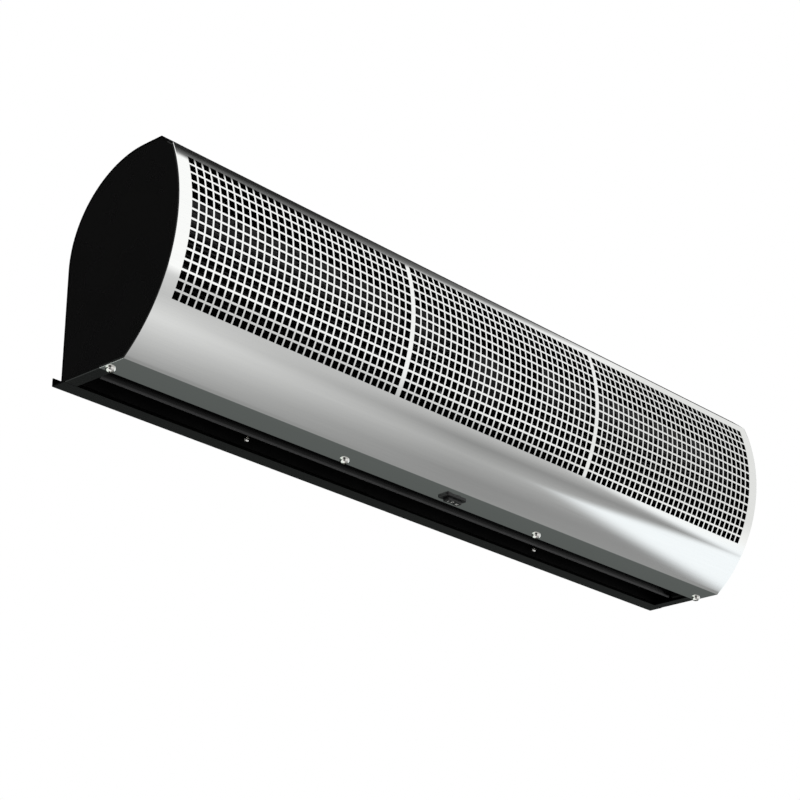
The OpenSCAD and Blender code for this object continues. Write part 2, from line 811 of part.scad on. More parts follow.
module bearing_rubbers() {
    color("#1b1b1c") unit() for (side = [-1, 1]) at_side(side) difference() {
        bar_x(wheel_c, cup_r - 0.1, bush_x0, bush_x0 + bush_l);
        bar_x(wheel_c, bush_r + 0.05, bush_x0 - over, bush_x0 + bush_l + over);
    }
}

module bearing_bushes() {
    color("#b08d57") unit() for (side = [-1, 1]) at_side(side) difference() {
        bar_x(wheel_c, bush_r, bush_x0, bush_x0 + bush_l);
        bar_x(wheel_c, shaft_r + bearing_play, bush_x0 - over, bush_x0 + bush_l + over);
    }
}

module bearing_nuts() {
    color("#c9cbce") unit() for (side = [-1, 1]) at_side(side) for (s = [-1, 1])
        difference() {
            translate([end_in - holder_t - nut_h, wheel_c[0] + s * nut_ring_r, wheel_c[1]])
                rotate([0, 90, 0]) cylinder(r = nut_r, h = nut_h, $fn = 6);
            bar_x(wheel_c + [s * nut_ring_r, 0], stud_r + 0.05, end_in - stud_l, end_in);
        }
}

// --- Outlet vane ---

// Rolled root, flat blade and folded tip, hung on a pin at both ends
module outlet_vane() {
    color("#1a1a1b") unit() {
        along_x(-vane_half, vane_half) translate(vane_c) rotate(vane_lean) {
            circle(r = vane_root_r);
            translate([-vane_t / 2, -vane_reach]) square([vane_t, vane_reach]);
            translate([0, -vane_reach]) circle(r = vane_tip_r, $fn = 48);
        }
        for (side = [-1, 1]) at_side(side)
            bar_x(vane_c, vane_pin_r, vane_half - over, vane_half + pin_l);
    }
}

module vane_brackets() {
    bracket_w = 14;
    top = vane_z + bracket_w / 2;
    color("#1a1a1b") unit() for (side = [-1, 1]) at_side(side) difference() {
        union() {
            translate([bracket_x, -vane_y - bracket_w / 2, floor_z])
                cube([bracket_t, bracket_w, top - floor_z]);
            translate([bracket_x, -vane_y - bracket_w / 2, floor_z])
                cube([end_in - bracket_x, bracket_w, plate_t]);
        }
        bar_x(vane_c, vane_pin_r + bearing_play, bracket_x - over, bracket_x + bracket_t + over);
    }
}

// --- Switch ---

// Bezel under the cover, and a body that reaches up through it and snaps in with two hooks
module switch_housing() {
    cavity_l = rocker_l + 2 * rocker_room;
    cavity_w = rocker_w + 2 * rocker_play;
    color("#101011") unit() translate([switch_c[0], switch_c[1], 0]) difference() {
        union() {
            translate([0, 0, -bezel_t]) linear_extrude(bezel_t) {
                square([bezel_l - 2 * bezel_corner, bezel_w], center = true);
                square([bezel_l, bezel_w - 2 * bezel_corner], center = true);
                for (sx = [-1, 1]) for (sy = [-1, 1])
                    translate([sx * (bezel_l / 2 - bezel_corner),
                               sy * (bezel_w / 2 - bezel_corner)]) circle(r = bezel_corner);
            }
            translate([-switch_l / 2, -switch_w / 2, -bezel_t / 2])
                cube([switch_l, switch_w, bezel_t / 2 + body_up]);
            for (s = [-1, 1]) translate([0, snap_w / 2, cover_t + snap_gap]) rotate([90, 0, 0])
                linear_extrude(snap_w) polygon([[s * (switch_l / 2 - over), 0],
                    [s * (switch_l / 2 + snap_out), 0], [s * switch_l / 2, snap_h],
                    [s * (switch_l / 2 - over), snap_h]]);
        }
        translate([-cavity_l / 2, -cavity_w / 2, -bezel_t - over])
            cube([cavity_l, cavity_w, bezel_t + body_up - switch_wall + over]);
        translate([0, switch_w / 2 + over, rocker_pin_z]) rotate([90, 0, 0])
            cylinder(r = rocker_pin_r + bearing_play, h = switch_w + 2 * over);
    }
}

// Three-position rocker on two small pins, with a shallow V across its face
module switch_rocker() {
    color("#060606") unit() translate([switch_c[0], switch_c[1], 0]) {
        translate([0, rocker_w / 2, 0]) rotate([90, 0, 0]) linear_extrude(rocker_w)
            polygon([[-rocker_l / 2, 0], [-rocker_l / 2, -rocker_drop],
                     [0, -rocker_drop + rocker_dip], [rocker_l / 2, -rocker_drop],
                     [rocker_l / 2, 0], [3, rocker_top], [-3, rocker_top]]);
        translate([0, switch_w / 2, rocker_pin_z]) rotate([90, 0, 0])
            cylinder(r = rocker_pin_r, h = switch_w);
    }
}

module switch_tabs() {
    color("#c9a24a") unit() for (i = [-1 : 1])
        translate([switch_c[0] + i * 8 - 2.4, switch_c[1] - tab_t / 2, body_up])
            cube([4.8, tab_t, tab_l]);
}

// --- Fasteners on the outside ---

module cover_screws() {
    color("#dfe2e4") unit() for (x = cover_screw_xs) translate([x, -cover_screw_y, 0])
        pan_screw(cover_shank_r, cover_shank_l, cover_head_r, cover_head_h);
}

module throat_screws() {
    shank_l = slot_rear + wall_t + 4;
    color("#dfe2e4") unit() for (x = throat_screw_xs)
        translate([x, -slot_rear, throat_screw_z]) rotate([-90, 0, 0])
            pan_screw(throat_shank_r, shank_l, throat_head_r, 2.6);
}

// --- Electrical parts ---

module capacitor() {
    color("#e8e6e0") unit() {
        bar_x(cap_c, cap_r, -cap_l / 2, cap_l / 2);
        for (s = [-1, 1]) translate([cap_l / 2, cap_c[0] + s * 5 - 2.4, cap_c[1] - 0.4])
            cube([7, 4.8, 0.8]);
    }
}

module capacitor_clip() {
    band_r = cap_r + cap_play;
    back = -tongue_y - guide_t;
    color("#a7aaad") unit() difference() {
        union() {
            bar_x(cap_c, band_r + cap_band_t, -cap_band_w / 2, cap_band_w / 2);
            translate([-cap_band_w / 2, back - cap_band_t, cap_c[1] - clip_low])
                cube([cap_band_w, cap_band_t, clip_low + clip_high]);
        }
        bar_x(cap_c, band_r, -cap_band_w, cap_band_w);
        translate([0, back + over, clip_screw_z]) rotate([90, 0, 0])
            cylinder(r = strap_shank_r + screw_play, h = cap_band_t + 2 * over);
    }
}

module clip_screw() {
    color("#c9cbce") unit()
        translate([0, -tongue_y - guide_t - cap_band_t, clip_screw_z]) rotate([-90, 0, 0])
            pan_screw(strap_shank_r, 5, 3, 2);
}

module terminal_block() {
    pitch = block_l / block_screws;
    color("#e9e7e1") unit() translate([block_x - block_l / 2, -block_y - block_w / 2,
                                       channel_top + guide_t]) difference() {
        cube([block_l, block_w, block_h]);
        for (i = [0 : block_screws - 1]) translate([(i + 0.5) * pitch, 0, 0]) {
            translate([0, block_w / 2, block_h / 2]) cylinder(r = 2.6, h = block_h);
            translate([0, -over, 3.2]) rotate([-90, 0, 0]) cylinder(r = 2, h = 5);
            translate([0, block_w + over, 3.2]) rotate([90, 0, 0]) cylinder(r = 2, h = 5);
        }
    }
}

module terminal_screws() {
    pitch = block_l / block_screws;
    color("#c9a24a") unit() for (i = [0 : block_screws - 1])
        translate([block_x - block_l / 2 + (i + 0.5) * pitch, -block_y,
                   channel_top + guide_t + block_h / 2]) difference() {
            cylinder(r = 2.5, h = 4);
            translate([-3, -0.4, 3]) cube([6, 0.8, 2]);
        }
}

// Rubber grommet for the supply cable, in the back wall
module cable_grommet() {
    lip = 1.8;
    color("#1b1b1c") unit() translate([grommet_x, 0, grommet_z]) rotate([90, 0, 0])
        difference() {
            union() {
                translate([0, 0, -lip]) cylinder(r = grommet_r + 2, h = lip);
                cylinder(r = grommet_r - 0.05, h = case_t);
                translate([0, 0, case_t]) cylinder(r = grommet_r + 2, h = lip);
            }
            translate([0, 0, -lip - over])
                cylinder(r = grommet_bore, h = case_t + 2 * lip + 2 * over);
        }
}

// --- Wall plate ---

// Flat plate with two upturned hooks, two stepped tabs for the throat screws, four wall holes
module wall_plate() {
    front = wall_gap - wall_t;
    color("#b5b8ba") unit() difference() {
        union() {
            translate([-wall_l / 2, front, wall_low]) cube([wall_l, wall_t, wall_high - wall_low]);
            for (s = [-1, 1]) translate([s * hook_x - hook_w / 2, 0, hook_z]) {
                translate([0, -hook_face - wall_t, 0])
                    cube([hook_w, front + hook_face + 2 * wall_t - wall_t / 2, wall_t]);
                translate([0, -hook_face - wall_t, 0]) cube([hook_w, wall_t, hook_up]);
            }
            for (x = throat_screw_xs) translate([x - tab_w / 2, 0, 0]) {
                translate([0, tab_face, wall_low]) cube([tab_w, wall_gap - tab_face, wall_t]);
                translate([0, tab_face, rail_t + 2])
                    cube([tab_w, wall_t, wall_low + wall_t - rail_t - 2]);
            }
        }
        for (sx = [-1, 1]) for (sz = [-1, 1])
            translate([sx * fix_x / 2, wall_gap + over, fix_z + sz * fix_dz / 2])
                rotate([90, 0, 0]) cylinder(r = fix_r, h = wall_t + 2 * over);
        for (x = throat_screw_xs) translate([x, wall_t + 2 * over, throat_screw_z])
            rotate([90, 0, 0]) cylinder(r = throat_shank_r + screw_play, h = wall_t + 3 * over);
        translate([grommet_x, wall_gap + over, grommet_z]) rotate([90, 0, 0])
            cylinder(r = cable_hole_r, h = wall_t + 2 * over);
    }
}

front_cover();
rear_housing();
bottom_rail();
end_plate(-1);  // end_plate_left
end_plate(1);  // end_plate_right
wall_plate();
scroll(-1);  // scroll_left
scroll(1);  // scroll_right
tongue(-1);  // tongue_left
tongue(1);  // tongue_right
bulkhead(-1);  // bulkhead_left
bulkhead(1);  // bulkhead_right
bay_channel();
cover_stay(-1);  // cover_stay_left
cover_stay(1);  // cover_stay_right
impeller(-1);  // impeller_left
impeller(1);  // impeller_right
stub_shaft(-1);  // stub_shaft_left
stub_shaft(1);  // stub_shaft_right
hub_set_screws();
motor_shaft();
rotor_core();
motor_case();
motor_shield(-1);  // motor_shield_left
motor_shield(1);  // motor_shield_right
stator_core();
stator_windings();
motor_rubber_rings();
motor_cradle();
clamp_straps();
strap_screws();
cradle_screws();
bearing_holders();
bearing_rubbers();
bearing_bushes();
bearing_nuts();
outlet_vane();
vane_brackets();
switch_housing();
switch_rocker();
switch_tabs();
cover_screws();
throat_screws();
capacitor();
capacitor_clip();
clip_screw();
terminal_block();
terminal_screws();
cable_grommet();
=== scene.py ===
import math

import bmesh
import bpy
from mathutils import Matrix, Vector


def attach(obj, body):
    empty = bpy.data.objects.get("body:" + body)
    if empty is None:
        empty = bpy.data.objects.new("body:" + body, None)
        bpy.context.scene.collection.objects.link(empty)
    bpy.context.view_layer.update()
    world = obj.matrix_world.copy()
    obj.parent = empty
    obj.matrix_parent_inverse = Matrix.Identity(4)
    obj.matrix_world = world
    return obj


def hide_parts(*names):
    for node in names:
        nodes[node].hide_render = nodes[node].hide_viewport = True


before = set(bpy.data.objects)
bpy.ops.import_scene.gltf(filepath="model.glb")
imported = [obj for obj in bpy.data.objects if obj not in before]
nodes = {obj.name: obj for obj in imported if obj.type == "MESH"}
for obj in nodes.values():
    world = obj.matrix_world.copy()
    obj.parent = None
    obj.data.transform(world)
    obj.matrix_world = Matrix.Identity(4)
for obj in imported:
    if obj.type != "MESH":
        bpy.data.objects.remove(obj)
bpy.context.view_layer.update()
bpy.ops.object.select_all(action="DESELECT")


# ---------------------------------------------------------------------------
# Wall plate. 1.5 mm galvanised steel, pressed with two upturned hooks and two
# stepped tabs. Four screws hold it to the wall and the unit hangs on it.
# ---------------------------------------------------------------------------
def add(tree, kind, inputs=(), **settings):
    """Adds a node with its settings; inputs maps sockets to values or to other nodes' outputs."""
    made = tree.nodes.new(kind)
    for name, value in settings.items():
        setattr(made, name, value)
    for socket, value in dict(inputs).items():
        if isinstance(value, bpy.types.NodeSocket):
            tree.links.new(value, made.inputs[socket])
        else:
            made.inputs[socket].default_value = value
    return made


def colour(code):
    """An sRGB hex code as the linear colour that shaders take."""
    parts = [int(code[i : i + 2], 16) / 255 for i in (1, 3, 5)]
    return [p / 12.92 if p <= 0.04045 else ((p + 0.055) / 1.055) ** 2.4 for p in parts] + [1.0]


def new_material(name):
    """An empty node material, its tree, and the place on the piece in metres."""
    made = bpy.data.materials.new(name)
    made.use_nodes = True
    made.node_tree.nodes.clear()
    tree = made.node_tree
    return made, tree, add(tree, "ShaderNodeTexCoord").outputs["Object"]


def surface(tree, inputs):
    """The material's shader, joined to its output."""
    shader = add(tree, "ShaderNodeBsdfPrincipled", inputs)
    add(tree, "ShaderNodeOutputMaterial", {"Surface": shader.outputs[0]})


def dress(material, *names):
    """Gives CAD nodes that stay as they are their real material."""
    for name in names:
        for place_for_it in nodes[name].material_slots:
            place_for_it.material = material


# Galvanised steel, hot-dipped: flat zinc crystals 9 mm across, each a little lighter or darker
# and duller than the next, under a thin grey bloom.
galvanised, tree, where = new_material("steel_hot_dip_galvanised")
crystals = add(tree, "ShaderNodeTexVoronoi", {"Vector": where, "Scale": 1000 / 9})
shade = add(tree, "ShaderNodeSeparateColor", {0: crystals.outputs["Color"]})
bloom = add(tree, "ShaderNodeTexNoise", {"Vector": where, "Scale": 1000 / 40, "Detail": 4.0})
tint = add(tree, "ShaderNodeMix", {
    "Factor": shade.outputs[0], 6: colour("#8f9497"), 7: colour("#b4b9bb")}, data_type="RGBA")
greyed = add(tree, "ShaderNodeMix", {
    "Factor": bloom.outputs[0], 6: tint.outputs[2], 7: colour("#a3a6a6")}, data_type="RGBA")
rough = add(tree, "ShaderNodeMapRange", {"Value": shade.outputs[1], "To Min": 0.32, "To Max": 0.5})
bump = add(tree, "ShaderNodeBump", {
    "Height": bloom.outputs[0], "Strength": 0.15, "Distance": 0.0002})
surface(tree, {"Base Color": greyed.outputs[2], "Metallic": 1.0, "Roughness": rough.outputs[0],
               "Normal": bump.outputs[0]})
dress(galvanised, "wall_plate")


# ---------------------------------------------------------------------------
# Rear housing. One 1.2 mm steel sheet, folded and rolled to a flat back, a
# quarter round, a flat top and a short front facet, then powder coated. It
# hooks over the wall plate and carries everything else.
# ---------------------------------------------------------------------------
WALL_GAP, HANG_Z = 12.4, 100.0        # mm: flat back to wall, underside to wall screws
HALF_L, UNIT_H = 450.0, 204.0
CASE = 1.2
ROUND_R, ROUND_Y, ROUND_Z = 94.5, -94.5, 109.5
TOP_CREASE_Y = -117.6
ROLL_R, ROLL_Y, ROLL_Z = 167.0, 22.4, 129.7     # the front's curve
COVER_TOP_Z = 191.5
BACK_FOLD_L = 435.0                   # half the length of the fold under the back
HOOK_XS, HOOK_Z = (-250, 250), 80.35  # slots for the wall plate's hooks
THROAT_SCREW_XS, THROAT_SCREW_Z = (-228.0, 210.0), 12


def place(x, y, z):
    """A point of the unit in mm (y from its flat back, z from its underside), in the frame's metres."""
    return Vector((x, y - WALL_GAP, z - HANG_Z)) / 1000


def pick(kind, test):
    """In edit mode, selects the faces, edges or verts whose middle, in the unit's mm, passes the test."""
    bpy.ops.mesh.select_mode(type=kind)
    bpy.ops.mesh.select_all(action="DESELECT")
    mesh = bpy.context.edit_object.data
    bm = bmesh.from_edit_mesh(mesh)
    for part in {"VERT": bm.verts, "EDGE": bm.edges, "FACE": bm.faces}[kind]:
        ends = [part.co] if kind == "VERT" else [v.co for v in part.verts]
        mid = sum(ends, Vector()) / len(ends) * 1000
        if test(Vector((mid.x, mid.y + WALL_GAP, mid.z + HANG_Z))):
            part.select_set(True)
    bm.select_flush_mode()
    bmesh.update_edit_mesh(mesh)


def draw_section(x0, x1, start, *moves):
    """A folded sheet from x0 to x1, left in edit mode. Its section starts at (y, z) and goes
    straight to each (y, z), or round each (y, z, degrees, steps). Underside, front, top and back
    follow each other, so that the faces point out."""
    bpy.ops.mesh.primitive_plane_add(size=1)
    bpy.ops.object.mode_set(mode="EDIT")
    pick("VERT", lambda m: m.y > WALL_GAP)
    bpy.ops.mesh.delete(type="VERT")
    bpy.ops.mesh.select_all(action="SELECT")
    bpy.ops.transform.resize(value=((x1 - x0) / 1000, 1, 1))
    bpy.ops.transform.translate(value=place((x0 + x1) / 2, *start) + Vector((0, 0.5, 0)))
    bpy.ops.mesh.select_mode(type="EDGE")
    y, z = start
    for move in moves:
        if len(move) == 2:
            bpy.ops.mesh.extrude_region_move(TRANSFORM_OT_translate={
                "value": (0, (move[0] - y) / 1000, (move[1] - z) / 1000)})
            y, z = move
            continue
        about_y, about_z, degrees, steps = move
        a = math.radians(degrees)
        bpy.ops.mesh.spin(steps=steps, angle=a, center=place(0, about_y, about_z), axis=(1, 0, 0))
        y, z = (about_y + (y - about_y) * math.cos(a) + (z - about_z) * math.sin(a),
                about_z + (z - about_z) * math.cos(a) - (y - about_y) * math.sin(a))
    bpy.ops.mesh.select_all(action="SELECT")
    bpy.ops.mesh.remove_doubles(threshold=0.00001)
    bpy.ops.mesh.flip_normals()


def fold_softly(radius, test, steps=2):
    """Rounds the folds whose edges pass the test, in edit mode."""
    pick("EDGE", test)
    bpy.ops.mesh.bevel(offset=radius / 1000, segments=steps, affect="EDGES")


def thicken(thickness):
    """Leaves edit mode and gives the sheet its wall, inwards."""
    bpy.ops.object.mode_set(mode="OBJECT")
    wall = bpy.context.object.modifiers.new("sheet", "SOLIDIFY")
    wall.thickness, wall.offset, wall.use_even_offset = thickness / 1000, -1, True
    bpy.ops.object.modifier_apply(modifier="sheet")


def punch(sheet, cutter):
    """Cuts the cutter's shape out of the sheet, then removes the cutter."""
    cut = sheet.modifiers.new("punch", "BOOLEAN")
    cut.operation, cut.solver, cut.object = "DIFFERENCE", "EXACT", cutter
    bpy.ops.object.select_all(action="DESELECT")
    bpy.context.view_layer.objects.active = sheet
    bpy.ops.object.modifier_apply(modifier="punch")
    bpy.data.objects.remove(cutter, do_unlink=True)
    sheet.select_set(True)


def shape(name, material, body="unit", stands_for=(), smooth_below=25, keep_flat=True):
    """Names the finished active piece, gives it its material and ties it to the frame."""
    piece = bpy.context.object
    bpy.ops.object.transform_apply(location=True, rotation=True, scale=True)
    bpy.ops.object.shade_smooth_by_angle(angle=math.radians(smooth_below))
    if keep_flat:
        even = piece.modifiers.new("even", "WEIGHTED_NORMAL")
        even.keep_sharp = True
        bpy.ops.object.modifier_apply(modifier="even")
    piece.name = piece.data.name = name
    piece.data.materials.clear()
    piece.data.materials.append(material)
    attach(piece, body)
    if stands_for:
        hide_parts(*stands_for)
    piece.select_set(False)
    return piece


# Black powder coat on steel: a deep satin black with a fine orange peel, 0.8 mm from crest to
# crest, and slightly duller patches where it has been handled.
powder_coat, tree, where = new_material("steel_black_powder_coat")
peel = add(tree, "ShaderNodeTexNoise", {"Vector": where, "Scale": 1000 / 0.8, "Detail": 2.0})
patches = add(tree, "ShaderNodeTexNoise", {"Vector": where, "Scale": 1000 / 55, "Detail": 3.0})
tint = add(tree, "ShaderNodeMix", {
    "Factor": patches.outputs[0], 6: colour("#020202"), 7: colour("#040404")}, data_type="RGBA")
rough = add(tree, "ShaderNodeMapRange", {"Value": patches.outputs[0], "To Min": 0.22, "To Max": 0.33})
bump = add(tree, "ShaderNodeBump", {"Height": peel.outputs[0], "Strength": 0.2, "Distance": 0.00005})
surface(tree, {"Base Color": tint.outputs[2], "Roughness": rough.outputs[0],
               "Normal": bump.outputs[0], "Specular IOR Level": 0.34})

cover_end_y = ROLL_Y - math.sqrt(ROLL_R**2 - (COVER_TOP_Z - ROLL_Z) ** 2)
facet = Vector((0, cover_end_y - TOP_CREASE_Y, COVER_TOP_Z - UNIT_H)).normalized()
facet_end = Vector((0, cover_end_y, COVER_TOP_Z)) - facet * 0.2
draw_section(-HALF_L, HALF_L, (facet_end.y, facet_end.z), (TOP_CREASE_Y, UNIT_H),
             (ROUND_Y, UNIT_H), (ROUND_Y, ROUND_Z, 90, 28), (0, CASE), (-4.5, CASE))
for x in (-BACK_FOLD_L, BACK_FOLD_L):
    bpy.ops.mesh.select_all(action="SELECT")
    bpy.ops.mesh.bisect(plane_co=place(x, 0, 0), plane_no=(1, 0, 0))
pick("FACE", lambda m: m.z < CASE + 0.1 and abs(m.x) > BACK_FOLD_L)
bpy.ops.mesh.delete(type="FACE")
fold_softly(0.5, lambda m: abs(m.y - TOP_CREASE_Y) < 0.1 and m.z > UNIT_H - 0.1)
fold_softly(0.8, lambda m: abs(m.y) < 0.1 and m.z < CASE + 0.1 and abs(m.x) < BACK_FOLD_L)
thicken(CASE)
housing = bpy.context.object
for x in HOOK_XS:
    bpy.ops.mesh.primitive_cube_add(size=1, location=place(x, 0, HOOK_Z), scale=(0.032, 0.01, 0.0107))
    punch(housing, bpy.context.object)
screw_holes = [(x, THROAT_SCREW_Z, 1.85) for x in THROAT_SCREW_XS]
for x, z, r in (*screw_holes, (30, 60, 7)):
    bpy.ops.mesh.primitive_cylinder_add(vertices=32, radius=r / 1000, depth=0.01,
                                        location=place(x, 0, z), rotation=(math.pi / 2, 0, 0))
    punch(housing, bpy.context.object)
shape("rear_housing_sheet", powder_coat, stands_for=["rear_housing"])


# ---------------------------------------------------------------------------
# End plates. Shallow pans of 1.5 mm steel with a bent rim, powder coated with
# the housing. They sit just inside the housing and the front cover and carry
# the end bearings.
# ---------------------------------------------------------------------------
PLATE = 1.5
RIM_IN = 436.0                        # where the bent rim ends
TUCK = 1.4                            # the plates stand this far inside the housing's face
SILL, SILL_REAR, SILL_FRONT = 0.1, -4.7, -50.8  # the flange lies lower beside the outlet
plate_r = ROLL_R - 1.2                # inside the cover
low, back, top = TUCK, -TUCK, UNIT_H - TUCK
inward = Vector((0, facet.z, -facet.y))
if inward.z > 0:
    inward = -inward
facet_at = Vector((0, TOP_CREASE_Y, UNIT_H)) + inward * TUCK
facet_top = facet_at + facet * ((top - facet_at.z) / facet.z)
from_roll = facet_top - Vector((0, ROLL_Y, ROLL_Z))
ahead = from_roll.dot(facet)
facet_low = facet_top + facet * (math.sqrt(ahead**2 - from_roll.length_squared + plate_r**2) - ahead)
front_y = ROLL_Y - math.sqrt(plate_r**2 - (ROLL_Z - low) ** 2)
low_a = math.degrees(math.asin((low - ROLL_Z) / plate_r))
high_a = math.degrees(math.asin((facet_low.z - ROLL_Z) / plate_r))
for side, name in ((-1, "end_plate_left"), (1, "end_plate_right")):
    draw_section(-HALF_L if side < 0 else RIM_IN, -RIM_IN if side < 0 else HALF_L,
                 (back, low), (SILL_REAR, low), (SILL_REAR, SILL), (SILL_FRONT, SILL),
                 (SILL_FRONT, low),
                 (front_y, low), (ROLL_Y, ROLL_Z, high_a - low_a, 40),
                 (facet_top.y, facet_top.z), (ROUND_Y, top), (ROUND_Y, ROUND_Z, 90, 28), (back, low))
    pick("EDGE", lambda m: side * m.x > HALF_L - 0.01)
    bpy.ops.mesh.edge_face_add()
    bpy.ops.mesh.select_all(action="SELECT")
    bpy.ops.mesh.normals_make_consistent(inside=False)
    fold_softly(0.9, lambda m: side * m.x > HALF_L - 0.01, 3)
    thicken(PLATE)
    shape(name + "_pan", powder_coat, stands_for=[name], smooth_below=40)


# ---------------------------------------------------------------------------
# Bottom rail. A 1.2 mm steel angle along the outlet's rear edge, powder
# coated. Its upturned lip reaches back to the wall and closes the gap there.
# ---------------------------------------------------------------------------
RAIL, SLOT_REAR, RAIL_LIP = 1.2, -4.5, 8.1
draw_section(-HALF_L, HALF_L, (WALL_GAP, RAIL_LIP), (WALL_GAP, 0), (SLOT_REAR, 0))
fold_softly(0.7, lambda m: abs(m.y - WALL_GAP) < 0.01 and m.z < 0.01, 3)
thicken(RAIL)
shape("bottom_rail_angle", powder_coat, stands_for=["bottom_rail"])


# ---------------------------------------------------------------------------
# Air guides: scrolls, tongues, bulkheads, the channel over the outlet and the
# cover's stays. Folded steel, dipped in black primer before assembly.
# ---------------------------------------------------------------------------
# Black dip primer: matt and even, with thin grey dust where the air passes.
primer, tree, where = new_material("steel_black_dip_primer")
dust = add(tree, "ShaderNodeTexNoise", {"Vector": where, "Scale": 1000 / 25, "Detail": 5.0})
grit = add(tree, "ShaderNodeTexNoise", {"Vector": where, "Scale": 1000 / 1.2, "Detail": 2.0})
laid = add(tree, "ShaderNodeMapRange", {
    "Value": dust.outputs[0], "From Min": 0.45, "From Max": 0.75})
tint = add(tree, "ShaderNodeMix", {
    "Factor": laid.outputs[0], 6: colour("#030303"), 7: colour("#080808")}, data_type="RGBA")
rough = add(tree, "ShaderNodeMapRange", {"Value": grit.outputs[0], "To Min": 0.55, "To Max": 0.75})
bump = add(tree, "ShaderNodeBump", {"Height": grit.outputs[0], "Strength": 0.2, "Distance": 0.00008})
surface(tree, {"Base Color": tint.outputs[2], "Roughness": rough.outputs[0],
               "Normal": bump.outputs[0], "Specular IOR Level": 0.15})
dress(primer, "scroll_left", "scroll_right", "tongue_left", "tongue_right", "bulkhead_left",
      "bulkhead_right", "bay_channel", "cover_stay_left", "cover_stay_right", "vane_brackets")


# ---------------------------------------------------------------------------
# Blower: two cross-flow wheels of crimped aluminium blades on ground steel
# shafts, held by black set screws.
# ---------------------------------------------------------------------------
# Black lacquer over rolled aluminium: a low sheen with faint streaks along the blades, 0.4 mm
# wide in fact and drawn 0.8 mm so that they show.
lacquered, tree, where = new_material("aluminium_black_lacquer")
streaks = add(tree, "ShaderNodeTexNoise", {
    "Vector": add(tree, "ShaderNodeMapping", {
        "Vector": where, "Scale": (1000 / 60, 1000 / 0.8, 1000 / 0.8)}).outputs[0],
    "Scale": 1.0, "Detail": 3.0})
tint = add(tree, "ShaderNodeMix", {
    "Factor": streaks.outputs[0], 6: colour("#050506"), 7: colour("#0c0c0d")}, data_type="RGBA")
rough = add(tree, "ShaderNodeMapRange", {"Value": streaks.outputs[0], "To Min": 0.35, "To Max": 0.5})
surface(tree, {"Base Color": tint.outputs[2], "Roughness": rough.outputs[0],
               "Specular IOR Level": 0.35})
dress(lacquered, "impeller_left", "impeller_right")

# Ground shaft steel: bright, with the wheel's fine marks round the shaft, 0.1 mm apart and
# drawn 0.3 mm apart.
ground_steel, tree, where = new_material("steel_ground_shaft")
marks = add(tree, "ShaderNodeTexNoise", {
    "Vector": add(tree, "ShaderNodeMapping", {
        "Vector": where, "Scale": (1000 / 0.3, 1000 / 8, 1000 / 8)}).outputs[0],
    "Scale": 1.0, "Detail": 3.0})
rough = add(tree, "ShaderNodeMapRange", {"Value": marks.outputs[0], "To Min": 0.14, "To Max": 0.3})
tint = add(tree, "ShaderNodeMix", {
    "Factor": marks.outputs[0], 6: colour("#b9bbbe"), 7: colour("#cfd1d3")}, data_type="RGBA")
bump = add(tree, "ShaderNodeBump", {"Height": marks.outputs[0], "Strength": 0.1, "Distance": 0.00003})
surface(tree, {"Base Color": tint.outputs[2], "Metallic": 1.0, "Roughness": rough.outputs[0],
               "Normal": bump.outputs[0]})
dress(ground_steel, "stub_shaft_left", "stub_shaft_right", "motor_shaft")

# Black oxide on hardened steel: near black, oily, a little browner in places.
black_oxide, tree, where = new_material("steel_black_oxide")
oil = add(tree, "ShaderNodeTexNoise", {"Vector": where, "Scale": 1000 / 2, "Detail": 3.0})
tint = add(tree, "ShaderNodeMix", {
    "Factor": oil.outputs[0], 6: colour("#1b1b1d"), 7: colour("#2c2826")}, data_type="RGBA")
rough = add(tree, "ShaderNodeMapRange", {"Value": oil.outputs[0], "To Min": 0.3, "To Max": 0.5})
surface(tree, {"Base Color": tint.outputs[2], "Metallic": 0.9, "Roughness": rough.outputs[0]})
dress(black_oxide, "hub_set_screws")


# ---------------------------------------------------------------------------
# Motor: an open external case with a shield at both ends, a laminated stator
# and rotor and two wound coils, held in rubber rings.
# ---------------------------------------------------------------------------
# Black machine enamel, sprayed: semi-gloss with a soft orange peel 1.5 mm across; it keeps the
# motor as dark behind the holes as the photo shows it.
enamel, tree, where = new_material("iron_black_machine_enamel")
peel = add(tree, "ShaderNodeTexNoise", {"Vector": where, "Scale": 1000 / 1.5, "Detail": 2.0})
patches = add(tree, "ShaderNodeTexNoise", {"Vector": where, "Scale": 1000 / 18, "Detail": 3.0})
tint = add(tree, "ShaderNodeMix", {
    "Factor": patches.outputs[0], 6: colour("#060607"), 7: colour("#0e0e10")}, data_type="RGBA")
rough = add(tree, "ShaderNodeMapRange", {"Value": patches.outputs[0], "To Min": 0.35, "To Max": 0.5})
bump = add(tree, "ShaderNodeBump", {"Height": peel.outputs[0], "Strength": 0.3, "Distance": 0.0001})
surface(tree, {"Base Color": tint.outputs[2], "Roughness": rough.outputs[0],
               "Specular IOR Level": 0.2, "Normal": bump.outputs[0]})
dress(enamel, "motor_case", "motor_shield_left", "motor_shield_right")

